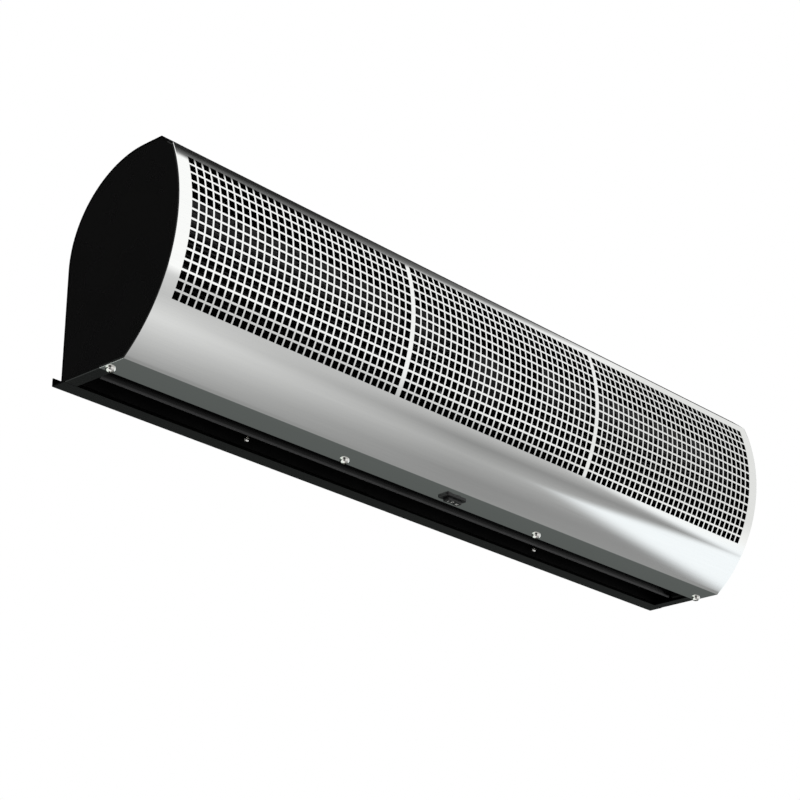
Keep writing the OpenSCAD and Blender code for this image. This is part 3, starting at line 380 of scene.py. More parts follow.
# Silicon steel laminations: 0.5 mm sheets stacked along the shaft, drawn 1 mm apart, dipped in
# dark varnish, blue-grey with a black line at each joint.
laminations, tree, where = new_material("silicon_steel_laminations")
sheets = add(tree, "ShaderNodeTexWave", {
    "Vector": where, "Scale": 1000 / 6.283, "Distortion": 0.3}, bands_direction="X")
heat = add(tree, "ShaderNodeTexNoise", {"Vector": where, "Scale": 1000 / 10, "Detail": 2.0})
tint = add(tree, "ShaderNodeMix", {
    "Factor": sheets.outputs[1], 6: colour("#08090a"), 7: colour("#24272b")}, data_type="RGBA")
blued = add(tree, "ShaderNodeMix", {
    "Factor": heat.outputs[0], 6: tint.outputs[2], 7: colour("#14171c")}, data_type="RGBA")
bump = add(tree, "ShaderNodeBump", {"Height": sheets.outputs[1], "Strength": 0.4, "Distance": 0.0001})
surface(tree, {"Base Color": blued.outputs[2], "Metallic": 0.8, "Roughness": 0.45,
               "Normal": bump.outputs[0]})
dress(laminations, "stator_core", "rotor_core")

# Enamelled copper wire, 0.8 mm across, wound round the shaft: rows of reddish turns under clear
# varnish, with painted shade darkening the colour between the turns.
windings, tree, where = new_material("copper_enamelled_wire")
centred = add(tree, "ShaderNodeMapping", {
    "Vector": where, "Location": (0, 0.0884, -0.025)}).outputs[0]
turns = add(tree, "ShaderNodeTexWave", {
    "Vector": centred, "Scale": 1000 / 0.8 / 6.283, "Distortion": 1.0, "Detail": 1.0},
    wave_type="RINGS", rings_direction="X")
layers = add(tree, "ShaderNodeTexWave", {
    "Vector": centred, "Scale": 1000 / 0.8 / 6.283, "Distortion": 0.6}, bands_direction="X")
wire_rows_and_painted_shade = add(tree, "ShaderNodeMath", {0: turns.outputs[1], 1: layers.outputs[1]}, operation="MULTIPLY")
# The rows of turns drive both the bump and the colour; the dark brown between them is painted shade
tint = add(tree, "ShaderNodeMix", {
    "Factor": wire_rows_and_painted_shade.outputs[0], 6: colour("#3a1509"), 7: colour("#b4642f")}, data_type="RGBA")
bump = add(tree, "ShaderNodeBump", {"Height": wire_rows_and_painted_shade.outputs[0], "Strength": 0.6, "Distance": 0.0002})
surface(tree, {"Base Color": tint.outputs[2], "Metallic": 0.6, "Roughness": 0.35,
               "Normal": bump.outputs[0], "Coat Weight": 0.6, "Coat Roughness": 0.2})
dress(windings, "stator_windings")

# Moulded black rubber: matt, with talc left grey in the fine pits.
rubber, tree, where = new_material("rubber_moulded_black")
pits = add(tree, "ShaderNodeTexNoise", {"Vector": where, "Scale": 1000 / 0.6, "Detail": 3.0})
talc = add(tree, "ShaderNodeMapRange", {"Value": pits.outputs[0], "From Min": 0.5, "From Max": 0.8})
tint = add(tree, "ShaderNodeMix", {
    "Factor": talc.outputs[0], 6: colour("#0f0f10"), 7: colour("#252524")}, data_type="RGBA")
bump = add(tree, "ShaderNodeBump", {"Height": pits.outputs[0], "Strength": 0.3, "Distance": 0.0001})
surface(tree, {"Base Color": tint.outputs[2], "Roughness": 0.75, "Normal": bump.outputs[0]})
dress(rubber, "motor_rubber_rings", "bearing_rubbers", "cable_grommet")


# ---------------------------------------------------------------------------
# Motor cradle, straps and end bearings. Pressed steel with a dark chromate
# finish, sintered bronze bushes in rubber, and small plated screws and nuts.
# ---------------------------------------------------------------------------
# Black-chromated zinc: a dark olive-grey metal sheen that turns a little rainbow-brown in
# clouds 15 mm wide.
chromated, tree, where = new_material("steel_black_chromated_zinc")
clouds = add(tree, "ShaderNodeTexNoise", {"Vector": where, "Scale": 1000 / 15, "Detail": 4.0})
tint = add(tree, "ShaderNodeMix", {
    "Factor": clouds.outputs[0], 6: colour("#1c1e20"), 7: colour("#2b2a26")}, data_type="RGBA")
rough = add(tree, "ShaderNodeMapRange", {"Value": clouds.outputs[0], "To Min": 0.35, "To Max": 0.55})
surface(tree, {"Base Color": tint.outputs[2], "Metallic": 1.0, "Roughness": rough.outputs[0]})
dress(chromated, "motor_cradle", "clamp_straps", "bearing_holders", "capacitor_clip")

# Sintered bronze, soaked in oil: brown-gold with fine dark pores, 0.15 mm wide and drawn 0.3 mm.
sintered, tree, where = new_material("bronze_sintered_oiled")
pores = add(tree, "ShaderNodeTexVoronoi", {"Vector": where, "Scale": 1000 / 0.3})
tint = add(tree, "ShaderNodeMix", {
    "Factor": pores.outputs["Distance"], 6: colour("#4c3418"), 7: colour("#a87c42")},
    data_type="RGBA")
bump = add(tree, "ShaderNodeBump", {
    "Height": pores.outputs["Distance"], "Strength": 0.3, "Distance": 0.00005})
surface(tree, {"Base Color": tint.outputs[2], "Metallic": 1.0, "Roughness": 0.4,
               "Normal": bump.outputs[0]})
dress(sintered, "bearing_bushes")

# Small screws and nuts, barrel-plated with zinc: bright, faintly blue, with tiny handling dents.
zinc_plated, tree, where = new_material("steel_blue_zinc_plated")
dents = add(tree, "ShaderNodeTexNoise", {"Vector": where, "Scale": 1000 / 1.1, "Detail": 3.0})
tint = add(tree, "ShaderNodeMix", {
    "Factor": dents.outputs[0], 6: colour("#9aa0a8"), 7: colour("#bcc3c8")}, data_type="RGBA")
rough = add(tree, "ShaderNodeMapRange", {"Value": dents.outputs[0], "To Min": 0.22, "To Max": 0.4})
bump = add(tree, "ShaderNodeBump", {"Height": dents.outputs[0], "Strength": 0.15, "Distance": 0.0001})
surface(tree, {"Base Color": tint.outputs[2], "Metallic": 1.0, "Roughness": rough.outputs[0],
               "Normal": bump.outputs[0]})
dress(zinc_plated, "strap_screws", "cradle_screws", "bearing_nuts", "clip_screw")


# ---------------------------------------------------------------------------
# Outlet vane. One strip of steel, rolled round at its root and hemmed at its
# tip, powder coated. It turns on a pin at both ends, in small brackets.
# ---------------------------------------------------------------------------
VANE_Y, VANE_Z, VANE_LEAN, VANE_REACH, VANE_HALF = -38.5, 27.0, 23.5, 25.0, 430.0
VANE_T, ROOT_R, HEM = 1.1, 2.45, 0.56

# Black stoving enamel, smoother than the powder coat: dark reflections broken by a long soft
# ripple that the rolled strip leaves, 12 mm from crest to crest, and a grey line along the tip
# that is a painted highlight on the hem's rounded edge.
vane_enamel, tree, where = new_material("steel_black_stoving_enamel")
ripple = add(tree, "ShaderNodeTexNoise", {
    "Vector": add(tree, "ShaderNodeMapping", {
        "Vector": where, "Scale": (1000 / 120, 1000 / 12, 1000 / 12)}).outputs[0],
    "Scale": 1.0, "Detail": 2.0})
tint = add(tree, "ShaderNodeMix", {
    "Factor": ripple.outputs[0], 6: colour("#040404"), 7: colour("#080809")}, data_type="RGBA")
lean = math.radians(VANE_LEAN)
down = Vector((0, math.sin(lean), -math.cos(lean)))
across = Vector((0, math.cos(lean), math.sin(lean)))
tip = (place(0, VANE_Y, VANE_Z) + down * VANE_REACH / 1000).dot(down)
along = add(tree, "ShaderNodeVectorMath", {0: where, 1: down}, operation="DOT_PRODUCT")
# Painted highlight: the blade turns grey over its last 0.6 mm, fading out 1.6 mm from the tip
painted_highlight_mask = add(tree, "ShaderNodeMapRange", {
    "Value": along.outputs["Value"], "From Min": tip - 0.0016, "From Max": tip - 0.0006})
enamel_with_painted_highlight = add(tree, "ShaderNodeMix", {
    "Factor": painted_highlight_mask.outputs[0], 6: tint.outputs[2], 7: colour("#3a3a3b")}, data_type="RGBA")
rough = add(tree, "ShaderNodeMapRange", {"Value": ripple.outputs[0], "To Min": 0.16, "To Max": 0.26})
bump = add(tree, "ShaderNodeBump", {"Height": ripple.outputs[0], "Strength": 0.1, "Distance": 0.0001})
surface(tree, {"Base Color": enamel_with_painted_highlight.outputs[2], "Roughness": rough.outputs[0],
               "Normal": bump.outputs[0], "Specular IOR Level": 0.2})


def on_vane(along, off):
    """(y, z) at so far along the blade from the pivot and so far behind it."""
    at = Vector((0, VANE_Y, VANE_Z)) + down * along + across * off
    return at.y, at.z


# Drawn from the end of the hem, round the tip, up the blade and round the pivot
draw_section(-VANE_HALF, VANE_HALF, on_vane(VANE_REACH - 5, HEM), on_vane(VANE_REACH, HEM),
             (*on_vane(VANE_REACH, 0), 180, 8), on_vane(4, -HEM), on_vane(1, -ROOT_R),
             (*on_vane(0, 0), 300, 26))
bpy.ops.object.mode_set(mode="OBJECT")
wall = bpy.context.object.modifiers.new("sheet", "SOLIDIFY")
wall.thickness, wall.offset, wall.use_even_offset = VANE_T / 1000, 0, True
bpy.ops.object.modifier_apply(modifier="sheet")
bpy.ops.object.mode_set(mode="EDIT")
for side in (-1, 1):
    bpy.ops.mesh.primitive_cylinder_add(
        vertices=32, radius=0.002, depth=0.0145, location=place(side * 427.25, VANE_Y, VANE_Z),
        rotation=(0, math.pi / 2, 0))
bpy.ops.object.mode_set(mode="OBJECT")
shape("outlet_vane_blade", vane_enamel, body="vane", stands_for=["outlet_vane"])


# ---------------------------------------------------------------------------
# Electrical parts in the motor bay: a run capacitor in its clip and a
# terminal block, both moulded in off-white plastic, and brass clamp screws.
# ---------------------------------------------------------------------------
# Polypropylene and polyamide, moulded: warm off-white, satin, with faint flow clouds.
off_white, tree, where = new_material("polypropylene_moulded_off_white")
flow = add(tree, "ShaderNodeTexNoise", {"Vector": where, "Scale": 1000 / 12, "Detail": 3.0})
grain = add(tree, "ShaderNodeTexNoise", {"Vector": where, "Scale": 1000 / 0.7, "Detail": 2.0})
tint = add(tree, "ShaderNodeMix", {
    "Factor": flow.outputs[0], 6: colour("#cfccc2"), 7: colour("#dedbd2")}, data_type="RGBA")
rough = add(tree, "ShaderNodeMapRange", {"Value": grain.outputs[0], "To Min": 0.4, "To Max": 0.55})
bump = add(tree, "ShaderNodeBump", {"Height": grain.outputs[0], "Strength": 0.1, "Distance": 0.0001})
surface(tree, {"Base Color": tint.outputs[2], "Roughness": rough.outputs[0],
               "Normal": bump.outputs[0], "Subsurface Weight": 0.1, "Subsurface Scale": 0.001})
dress(off_white, "capacitor", "terminal_block")

# Turned and stamped brass, a little tarnished in clouds 3 mm wide.
brass, tree, where = new_material("brass_stamped")
tarnish = add(tree, "ShaderNodeTexNoise", {"Vector": where, "Scale": 1000 / 3, "Detail": 4.0})
tint = add(tree, "ShaderNodeMix", {
    "Factor": tarnish.outputs[0], 6: colour("#8a6a2c"), 7: colour("#d2ac5c")}, data_type="RGBA")
rough = add(tree, "ShaderNodeMapRange", {"Value": tarnish.outputs[0], "To Min": 0.45, "To Max": 0.2})
surface(tree, {"Base Color": tint.outputs[2], "Metallic": 1.0, "Roughness": rough.outputs[0]})
dress(brass, "terminal_screws", "switch_tabs")


# ---------------------------------------------------------------------------
# Front cover. One sheet of 1 mm stainless steel with a fine lengthwise grain,
# punched flat with three bays of square holes, rolled to the front's curve and
# folded in under the unit. Screws along its return strip hold it.
# ---------------------------------------------------------------------------
SHEET = 1.0
SLOT_EDGE = -51.0
# The holes are drawn 0.1 mm wider and 0.4 mm taller than the solid's 7 mm, so that they look
# nearly as dark as in the photograph
HOLE, HOLE_H, PITCH, ROW_PITCH, ROWS, BAYS, COLS, RIB = 7.1, 7.4, 9.0, 9.36, 15, 3, 32, 4.0
TOP_ROW_Z = 179.0

# Stainless steel, bright with a fine lengthwise grain: nearly a mirror, with long faint streaks
# from the rolls and slightly duller clouds from hands and cleaning. The real grain, 0.05 mm
# wide, is drawn 0.7 mm wide so that it shows.
bright_steel, tree, where = new_material("stainless_steel_bright_lengthwise_grain")
grain = add(tree, "ShaderNodeTexNoise", {
    "Vector": add(tree, "ShaderNodeMapping", {
        "Vector": where, "Scale": (1000 / 90, 1000 / 0.7, 1000 / 0.7)}).outputs[0],
    "Scale": 1.0, "Detail": 3.0, "Roughness": 0.6})
clouds = add(tree, "ShaderNodeTexNoise", {
    "Vector": add(tree, "ShaderNodeMapping", {
        "Vector": where, "Scale": (1000 / 220, 1000 / 60, 1000 / 60)}).outputs[0],
    "Scale": 1.0, "Detail": 2.0})
dull = add(tree, "ShaderNodeMapRange", {
    "Value": clouds.outputs[0], "From Min": 0.3, "From Max": 0.7, "To Min": 0.03, "To Max": 0.05})
rough = add(tree, "ShaderNodeMath", {
    0: grain.outputs[0], 1: 0.03, 2: dull.outputs[0]}, operation="MULTIPLY_ADD")
tint = add(tree, "ShaderNodeMix", {
    "Factor": grain.outputs[0], 6: colour("#e9eae9"), 7: colour("#f4f5f3")}, data_type="RGBA")
bump = add(tree, "ShaderNodeBump", {"Height": grain.outputs[0], "Strength": 0.04, "Distance": 0.00004})
surface(tree, {"Base Color": tint.outputs[2], "Metallic": 1.0, "Roughness": rough.outputs[0],
               "Normal": bump.outputs[0]})

# Under the unit from the outlet to the crease, then up round the front, with a step at each
# edge of every row of holes, and last the tucked top lip, a step down under the housing
crease_y = ROLL_Y - math.sqrt(ROLL_R**2 - ROLL_Z**2)
row_a = math.degrees(ROW_PITCH / ROLL_R)
top_a = math.degrees(math.asin((TOP_ROW_Z - ROLL_Z) / ROLL_R))
hole_a = math.degrees(math.asin(HOLE_H / 2 / ROLL_R))
row_as = [top_a - r * row_a for r in reversed(range(ROWS))]
stops = [(row_as[0] - hole_a, 16)]
for r, a in enumerate(row_as):
    stops.append((a + hole_a, 2))
    if r < ROWS - 1:
        stops.append((row_as[r + 1] - hole_a, 1))
stops.append((math.degrees(math.asin((COVER_TOP_Z - ROLL_Z) / ROLL_R)), 3))
at = math.degrees(math.asin(-ROLL_Z / ROLL_R))
turns = []
for stop, steps in stops:
    turns.append((ROLL_Y, ROLL_Z, stop - at, steps))
    at = stop
lip_start = Vector((0, cover_end_y, COVER_TOP_Z)) - facet * 0.9 + inward * TUCK
lip_end = lip_start - facet * 7.1
draw_section(-HALF_L, HALF_L, (SLOT_EDGE, 0), (crease_y, 0), *turns,
             (lip_start.y, lip_start.z), (lip_end.y, lip_end.z))

# Cut across near both ends and at the edges of every column of holes, and the holes punched out
bay_step = COLS * PITCH + RIB
grille_l = (BAYS - 1) * bay_step + (COLS - 1) * PITCH
hole_xs = [-grille_l / 2 + b * bay_step + c * PITCH for b in range(BAYS) for c in range(COLS)]
cut_xs = [x + side * HOLE / 2 for x in hole_xs for side in (-1, 1)]
for x in [1 - HALF_L, *cut_xs, HALF_L - 1]:
    bpy.ops.mesh.select_all(action="SELECT")
    bpy.ops.mesh.bisect(plane_co=place(x, 0, 0), plane_no=(1, 0, 0))


def in_hole(m):
    a = math.degrees(math.atan2(m.z - ROLL_Z, ROLL_Y - m.y))
    return (min(abs(m.x - x) for x in hole_xs) < HOLE / 2 - 0.1
            and min(abs(a - r) for r in row_as) < hole_a)


pick("FACE", in_hole)
bpy.ops.mesh.delete(type="FACE")
fold_softly(0.5, lambda m: abs(m.y - crease_y) < 0.05 and m.z < 0.05)
thicken(SHEET)
bpy.ops.object.mode_set(mode="EDIT")
fold_softly(0.25, lambda m: abs(m.x) > HALF_L - 0.01 and m.z < COVER_TOP_Z - 0.5
            and (m.z < 0.01 or abs(math.hypot(m.y - ROLL_Y, m.z - ROLL_Z) - ROLL_R) < 0.05))
bpy.ops.object.mode_set(mode="OBJECT")
shape("front_cover_sheet", bright_steel, stands_for=["front_cover"], keep_flat=False)


# ---------------------------------------------------------------------------
# Cover screws and throat screws. Pan-headed steel screws with a cross recess,
# bright nickel plated: four big ones through the cover's return strip, two
# small ones through the outlet's rear wall into the wall plate's tabs.
# ---------------------------------------------------------------------------
COVER_SCREW_XS, COVER_SCREW_Y = (-443.0, -147.667, 147.667, 443.0), -57.5

# Nickel plate over polished steel: a warm bright mirror with hairline scratches from the driver.
nickel, tree, where = new_material("steel_bright_nickel_plate")
hairs = add(tree, "ShaderNodeTexNoise", {"Vector": where, "Scale": 1000 / 0.9, "Detail": 4.0})
tint = add(tree, "ShaderNodeMix", {
    "Factor": hairs.outputs[0], 6: colour("#e2e0db"), 7: colour("#efeeea")}, data_type="RGBA")
rough = add(tree, "ShaderNodeMapRange", {"Value": hairs.outputs[0], "To Min": 0.05, "To Max": 0.14})
surface(tree, {"Base Color": tint.outputs[2], "Metallic": 1.0, "Roughness": rough.outputs[0]})


def domed_head(radius, height, shank_r, shank_l, recess):
    """A pan-headed screw that points up from the origin, its head hanging below."""
    skirt = 0.2 * height
    bpy.ops.mesh.primitive_uv_sphere_add(segments=40, ring_count=20, radius=radius / 1000)
    bpy.ops.object.mode_set(mode="EDIT")
    bpy.ops.transform.resize(value=(1, 1, (height - skirt) / radius))
    bpy.ops.mesh.bisect(plane_co=(0, 0, -0.00001), plane_no=(0, 0, 1), clear_outer=True)
    bpy.ops.mesh.select_mode(type="EDGE")
    bpy.ops.mesh.extrude_region_move(TRANSFORM_OT_translate={"value": (0, 0, skirt / 1000)})
    bpy.ops.mesh.edge_face_add()
    bpy.ops.mesh.select_all(action="SELECT")
    bpy.ops.transform.translate(value=(0, 0, -skirt / 1000))
    bpy.ops.mesh.normals_make_consistent(inside=False)
    bpy.ops.mesh.primitive_cylinder_add(vertices=24, radius=shank_r / 1000, depth=shank_l / 1000,
                                        location=(0, 0, shank_l / 2000))
    bpy.ops.object.mode_set(mode="OBJECT")
    made = bpy.context.object
    for length, width in ((recess, recess * 0.22), (recess * 0.22, recess)):
        bpy.ops.mesh.primitive_cube_add(
            size=1, location=(0, 0, -height / 1000),
            scale=(length / 1000, width / 1000, height * 0.9 / 1000))
        punch(made, bpy.context.object)
    return made


def screw_to(material, name, at, turn, stands_for=()):
    """Puts the active screw at its place, its point towards the turned axis."""
    bpy.context.object.matrix_world = Matrix.Translation(at) @ turn
    return shape(name, material, stands_for=stands_for, smooth_below=35)


for i, x in enumerate(COVER_SCREW_XS):
    domed_head(4.75, 3.9, 2.5, 10, 5.4)
    screw_to(nickel, f"cover_screw_{i + 1}", place(x, COVER_SCREW_Y, 0),
             Matrix.Rotation(math.radians((20, 65, 40, 5)[i]), 4, "Z"),
             ["cover_screws"] if i == 0 else ())
for i, x in enumerate(THROAT_SCREW_XS):
    domed_head(3.25, 2.6, 1.75, 10, 3.8)
    screw_to(nickel, f"throat_screw_{i + 1}", place(x, SLOT_REAR, THROAT_SCREW_Z),
             Matrix.Rotation(-math.pi / 2, 4, "X"), ["throat_screws"] if i == 0 else ())


# ---------------------------------------------------------------------------
# Switch. A three-position rocker in a snap-in housing, pushed up through the
# cover's return strip. Both are moulded in black nylon, and the marks on the
# rocker are printed white.
# ---------------------------------------------------------------------------
SWITCH_X, SWITCH_Y = 2.0, crease_y + 17.2
ROCKER_DROP, ROCKER_DIP = 5.6, 1.2

# Glass-filled nylon, moulded in a spark-eroded tool: black, satin, with a fine grain 0.4 mm wide.
nylon, tree, where = new_material("nylon_moulded_black_fine_grain")
grain = add(tree, "ShaderNodeTexNoise", {"Vector": where, "Scale": 1000 / 0.4, "Detail": 2.0})
patches = add(tree, "ShaderNodeTexNoise", {"Vector": where, "Scale": 1000 / 9, "Detail": 2.0})
tint = add(tree, "ShaderNodeMix", {
    "Factor": patches.outputs[0], 6: colour("#080808"), 7: colour("#0e0e0f")}, data_type="RGBA")
rough = add(tree, "ShaderNodeMapRange", {"Value": patches.outputs[0], "To Min": 0.35, "To Max": 0.5})
bump = add(tree, "ShaderNodeBump", {"Height": grain.outputs[0], "Strength": 0.2, "Distance": 0.00004})
surface(tree, {"Base Color": tint.outputs[2], "Roughness": rough.outputs[0],
               "Normal": bump.outputs[0]})

# White pad-printing ink: matt, thin enough in places for the black to grey it.
ink, tree, where = new_material("ink_pad_printed_white")
thin = add(tree, "ShaderNodeTexNoise", {"Vector": where, "Scale": 1000 / 0.5, "Detail": 2.0})
tint = add(tree, "ShaderNodeMix", {
    "Factor": thin.outputs[0], 6: colour("#c9c9c6"), 7: colour("#ecece8")}, data_type="RGBA")
rough = add(tree, "ShaderNodeMapRange", {"Value": thin.outputs[0], "To Min": 0.5, "To Max": 0.65})
surface(tree, {"Base Color": tint.outputs[2], "Roughness": rough.outputs[0]})


def add_box(x, y, z, length, width, height):
    """A new box in mm about (x, y, z)."""
    bpy.ops.mesh.primitive_cube_add(
        size=1, location=place(x, y, z), scale=(length / 1000, width / 1000, height / 1000))
    bpy.ops.object.transform_apply(location=True, rotation=True, scale=True)


# Bezel with round corners and a soft rim, the body drawn up from its top, and the rocker's well
add_box(SWITCH_X, SWITCH_Y, -0.95, 31, 14.4, 1.9)
bpy.ops.object.mode_set(mode="EDIT")
fold_softly(3, lambda m: abs(m.z + 0.95) < 0.01, 6)
pick("EDGE", lambda m: m.z < -1.89)
bpy.ops.mesh.bevel(offset=0.0007, segments=3, affect="EDGES")
pick("FACE", lambda m: m.z > -0.01)
bpy.ops.mesh.inset(thickness=0.0016)
bpy.ops.mesh.extrude_region_move(TRANSFORM_OT_translate={"value": (0, 0, 0.016)})
bpy.ops.object.mode_set(mode="OBJECT")
housing = bpy.context.object
add_box(SWITCH_X, SWITCH_Y, 6.3, 22, 8.2, 16.6)
punch(housing, bpy.context.object)
shape("switch_housing_moulding", nylon, stands_for=["switch_housing"],
      smooth_below=35)

# Rocker: a block with a shallow V across its face and a narrower back, every edge softened
add_box(SWITCH_X, SWITCH_Y, -ROCKER_DROP / 2, 20, 7.6, ROCKER_DROP)
bpy.ops.object.mode_set(mode="EDIT")
bpy.ops.mesh.select_all(action="SELECT")
bpy.ops.mesh.bisect(plane_co=place(SWITCH_X, 0, 0), plane_no=(1, 0, 0))
pick("EDGE", lambda m: abs(m.x - SWITCH_X) < 0.01 and m.z < 0.01 - ROCKER_DROP)
bpy.ops.transform.translate(value=(0, 0, ROCKER_DIP / 1000))
pick("FACE", lambda m: m.z > -0.01)
bpy.ops.mesh.extrude_region_move(TRANSFORM_OT_translate={"value": (0, 0, 0.0055)})
bpy.ops.transform.resize(value=(0.3, 1, 1))
fold_softly(0.55, lambda m: m.z < 5 and abs(m.x - SWITCH_X) > 0.5, 3)
bpy.ops.mesh.primitive_cylinder_add(vertices=24, radius=0.0012, depth=0.0119,
                                    location=place(SWITCH_X, SWITCH_Y, 2.5),
                                    rotation=(math.pi / 2, 0, 0))
bpy.ops.object.mode_set(mode="OBJECT")
shape("switch_rocker_moulding", nylon, body="rocker",
      stands_for=["switch_rocker"], smooth_below=35)

# The marks I, O and II, 0.05 mm proud of the two slopes
slope = math.atan(ROCKER_DIP / 10)
for name, x, bars in (("one", -6.4, (0,)), ("two", 6.4, (-0.75, 0.75))):
    z = -ROCKER_DROP + ROCKER_DIP * (1 - abs(x) / 10)
    for i, shift in enumerate(bars):
        if i:
            bpy.ops.object.mode_set(mode="EDIT")
        bpy.ops.mesh.primitive_cube_add(
            size=1, location=place(
                SWITCH_X + x + shift, SWITCH_Y, z - shift * math.tan(slope) * (1 if x > 0 else -1)),
            scale=(0.00062, 0.0034, 0.0001), rotation=(0, slope if x > 0 else -slope, 0))
        if i:
            bpy.ops.object.mode_set(mode="OBJECT")
    shape("switch_mark_" + name, ink, body="rocker")
bpy.ops.mesh.primitive_torus_add(major_radius=0.0014, minor_radius=0.00032, major_segments=32,
                                 minor_segments=8,
                                 location=place(SWITCH_X, SWITCH_Y, -ROCKER_DROP + ROCKER_DIP - 0.02))
bpy.context.object.scale.z = 0.5
shape("switch_mark_off", ink, body="rocker", smooth_below=40)


# ---------------------------------------------------------------------------
# Studio: a plain pale floor far below, a world that is white to the eye, and
# a camera below the unit, to its left, as in the photograph.
# ---------------------------------------------------------------------------
FLOOR_Z = -1.3
world = bpy.data.worlds.new("white_studio")
bpy.context.scene.world = world
world.use_nodes = True
tree = world.node_tree
tree.nodes.clear()
ray = add(tree, "ShaderNodeTexCoord").outputs["Generated"]
parts = add(tree, "ShaderNodeSeparateXYZ", {0: ray})
front = add(tree, "ShaderNodeMath", {0: parts.outputs["Y"], 1: -1.0}, operation="MULTIPLY")
turn = add(tree, "ShaderNodeMath", {0: parts.outputs["Z"], 1: front.outputs[0]}, operation="ARCTAN2")
spread = add(tree, "ShaderNodeMapRange", {
    "Value": turn.outputs[0], "From Min": -math.pi, "From Max": math.pi})


def bands(stops):
    """A ramp of light round the unit's length: (degrees above level in front, strength)."""
    ramp = add(tree, "ShaderNodeValToRGB", {0: spread.outputs[0]})
    keys = ramp.color_ramp.elements
    while len(keys) > 1:
        keys.remove(keys[0])
    for i, (angle, light) in enumerate(stops):
        key = keys[0] if i == 0 else keys.new((angle + 180) / 360)
        key.position = (angle + 180) / 360
        key.color = (light, light, light, 1)
    return ramp.outputs[0]


def blend(factor, first, second, how="MIX"):
    """Two lights mixed, or joined in another way, by a factor that is a number or an output."""
    return add(tree, "ShaderNodeMix", {"Factor": factor, 6: first, 7: second},
               data_type="RGBA", blend_type=how).outputs[2]


# A dim room behind and below and a grey floor in front of it. A lamp stands low in front,
# strong on the left and weak in the middle; above it a dim gap, then one big white screen.
low_light = [(-180, 0.02), (-150, 0.11), (-128, 0.12), (-118, 0.32), (-75, 0.32)]
left_light = bands(low_light + [(-40, 0.8), (-25, 0.6), (-12, 0.7), (-7, 1.1), (82, 1.1), (94, 0.03)])
middle_light = bands(low_light + [(-60, 0.3), (-45, 0.45), (-35, 0.3), (-12, 1.0), (82, 1.0), (94, 0.03)])
to_middle = add(tree, "ShaderNodeMapRange", {
    "Value": parts.outputs["X"], "From Min": 0.60, "From Max": 0.715})
light = blend(to_middle.outputs[0], left_light, middle_light)

# A window on the right, a little blue. Its edge, as a share of the way to the right, leans in
# as it rises, with a dark rail across it 35 degrees below level.
lit_edge = bands([(-90, 0.9), (-75, 0.82), (-45, 0.75), (-35, 0.8), (-25, 0.75), (80, 0.75), (92, 1)])
past_edge = add(tree, "ShaderNodeMath", {0: parts.outputs["X"], 1: lit_edge}, operation="SUBTRACT")
lit = add(tree, "ShaderNodeMapRange", {
    "Value": past_edge.outputs[0], "From Min": -0.016, "From Max": 0.014},
    interpolation_type="SMOOTHSTEP")
lit_colour = blend(bands([(-34, 1), (-22, 0)]),
                   (1.08, 1.08, 1.07, 1), (1.05, 1.09, 1.12, 1))
lit_side = blend(1.0, lit_colour, bands([(-28, 1), (-8, 0.8)]), "MULTIPLY")
light = blend(lit.outputs[0], light, lit_side)

# A lamp low on the left, that only the screws and the rounded edges see
low_lamp_across = add(tree, "ShaderNodeMapRange", {
    "Value": parts.outputs["X"], "From Min": 0.46, "From Max": 0.34})
low_lamp = add(tree, "ShaderNodeMath", {
    0: low_lamp_across.outputs[0],
    1: bands([(-156, 0), (-146, 1), (-92, 1), (-84, 0)])}, operation="MULTIPLY")
light = blend(low_lamp.outputs[0], light, (1.05, 1.05, 1.04, 1))

# A faint green cast from the room behind and below
cast = bands([(-124, 1), (-112, 0)])
light = blend(cast, light, blend(1.0, light, (0.955, 1.04, 1.0, 1), "MULTIPLY"))

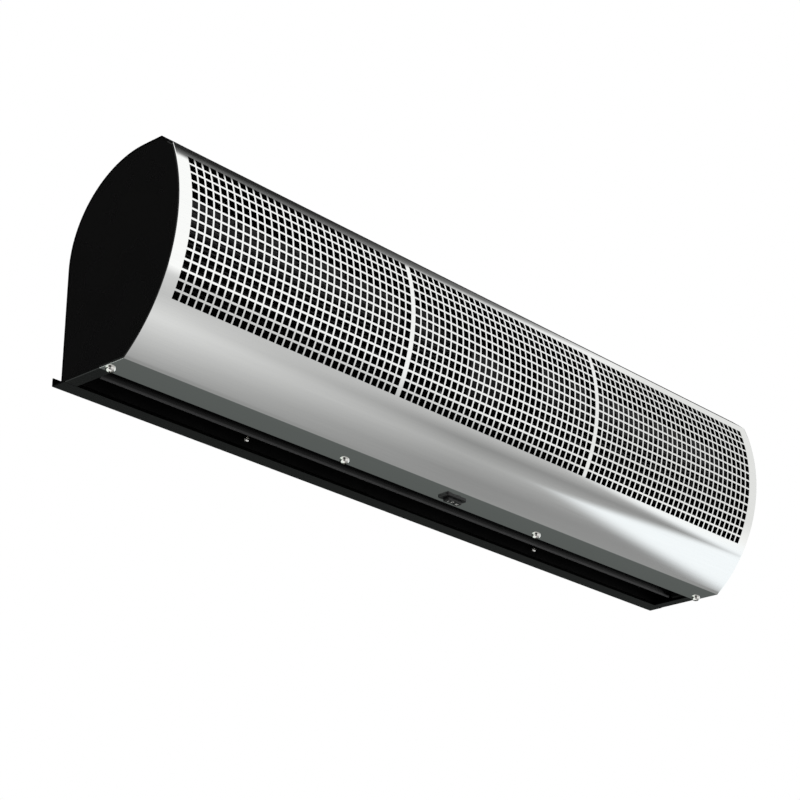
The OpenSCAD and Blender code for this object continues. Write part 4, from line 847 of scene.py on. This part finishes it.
# A dark ceiling on the far side, and a dark patch 34 degrees wide round the camera and its
# tripod
overhead = add(tree, "ShaderNodeMath", {0: parts.outputs["X"], 1: 0.68, 2: parts.outputs["Z"]},
               operation="MULTIPLY_ADD")
ceiling = add(tree, "ShaderNodeMapRange", {
    "Value": overhead.outputs[0], "From Min": 1.160, "From Max": 1.173, "To Min": 1.0, "To Max": 0.2})
far_ceiling = add(tree, "ShaderNodeMapRange", {
    "Value": overhead.outputs[0], "From Min": 1.173, "From Max": 1.190, "To Min": 1.0, "To Max": 0.1})
tripod_way = Vector((-0.688, -0.615, -0.385)).normalized()
near_tripod = add(tree, "ShaderNodeVectorMath", {0: ray, 1: tripod_way}, operation="DOT_PRODUCT")
tripod = add(tree, "ShaderNodeMapRange", {
    "Value": near_tripod.outputs["Value"], "From Min": math.cos(math.radians(34)),
    "From Max": math.cos(math.radians(14)), "To Min": 1.0, "To Max": 0.04},
    interpolation_type="SMOOTHSTEP")
overhead_light = add(tree, "ShaderNodeMath", {0: ceiling.outputs[0], 1: far_ceiling.outputs[0]},
                     operation="MULTIPLY")
shades = add(tree, "ShaderNodeMath", {0: overhead_light.outputs[0], 1: tripod.outputs[0]},
             operation="MULTIPLY")
seen_in_metal = blend(1.0, light, shades.outputs[0], "MULTIPLY")
path = add(tree, "ShaderNodeLightPath")
plain = blend(path.outputs["Is Diffuse Ray"], (1, 1, 1, 1), (0.8, 0.8, 0.8, 1))
mixed = blend(path.outputs["Is Glossy Ray"], plain, seen_in_metal)
sky = add(tree, "ShaderNodeBackground", {"Color": mixed, "Strength": 1.0})
add(tree, "ShaderNodeOutputWorld", {"Surface": sky.outputs[0]})

bpy.ops.mesh.primitive_plane_add(size=9, location=(0, 0, FLOOR_Z))
bpy.ops.object.transform_apply(location=True, rotation=True, scale=True)
floor = bpy.context.object
floor.name = "studio_floor"
pale, tree, where = new_material("studio_floor_matt_white")
surface(tree, {"Base Color": colour("#e8e8e6"), "Roughness": 0.9})
floor.data.materials.append(pale)
floor.visible_glossy = False

bpy.context.scene.view_settings.view_transform = "Standard"
# The photograph's view, solved from the centres of the cover's holes
eye = bpy.data.cameras.new("camera")
eye.sensor_width, eye.lens = 36.0, 95.39
camera = bpy.data.objects.new("camera", eye)
bpy.context.scene.collection.objects.link(camera)
right = Vector((0.66646, -0.74554, 0.00047))
below = Vector((0.28761, 0.25651, -0.92276))
away = Vector((0.68783, 0.61512, 0.38538))
turned = Matrix((right, -below, -away)).transposed().to_4x4()
camera.matrix_world = Matrix.Translation((-1.5273, -1.3750, -0.8304)) @ turned
bpy.context.scene.camera = camera
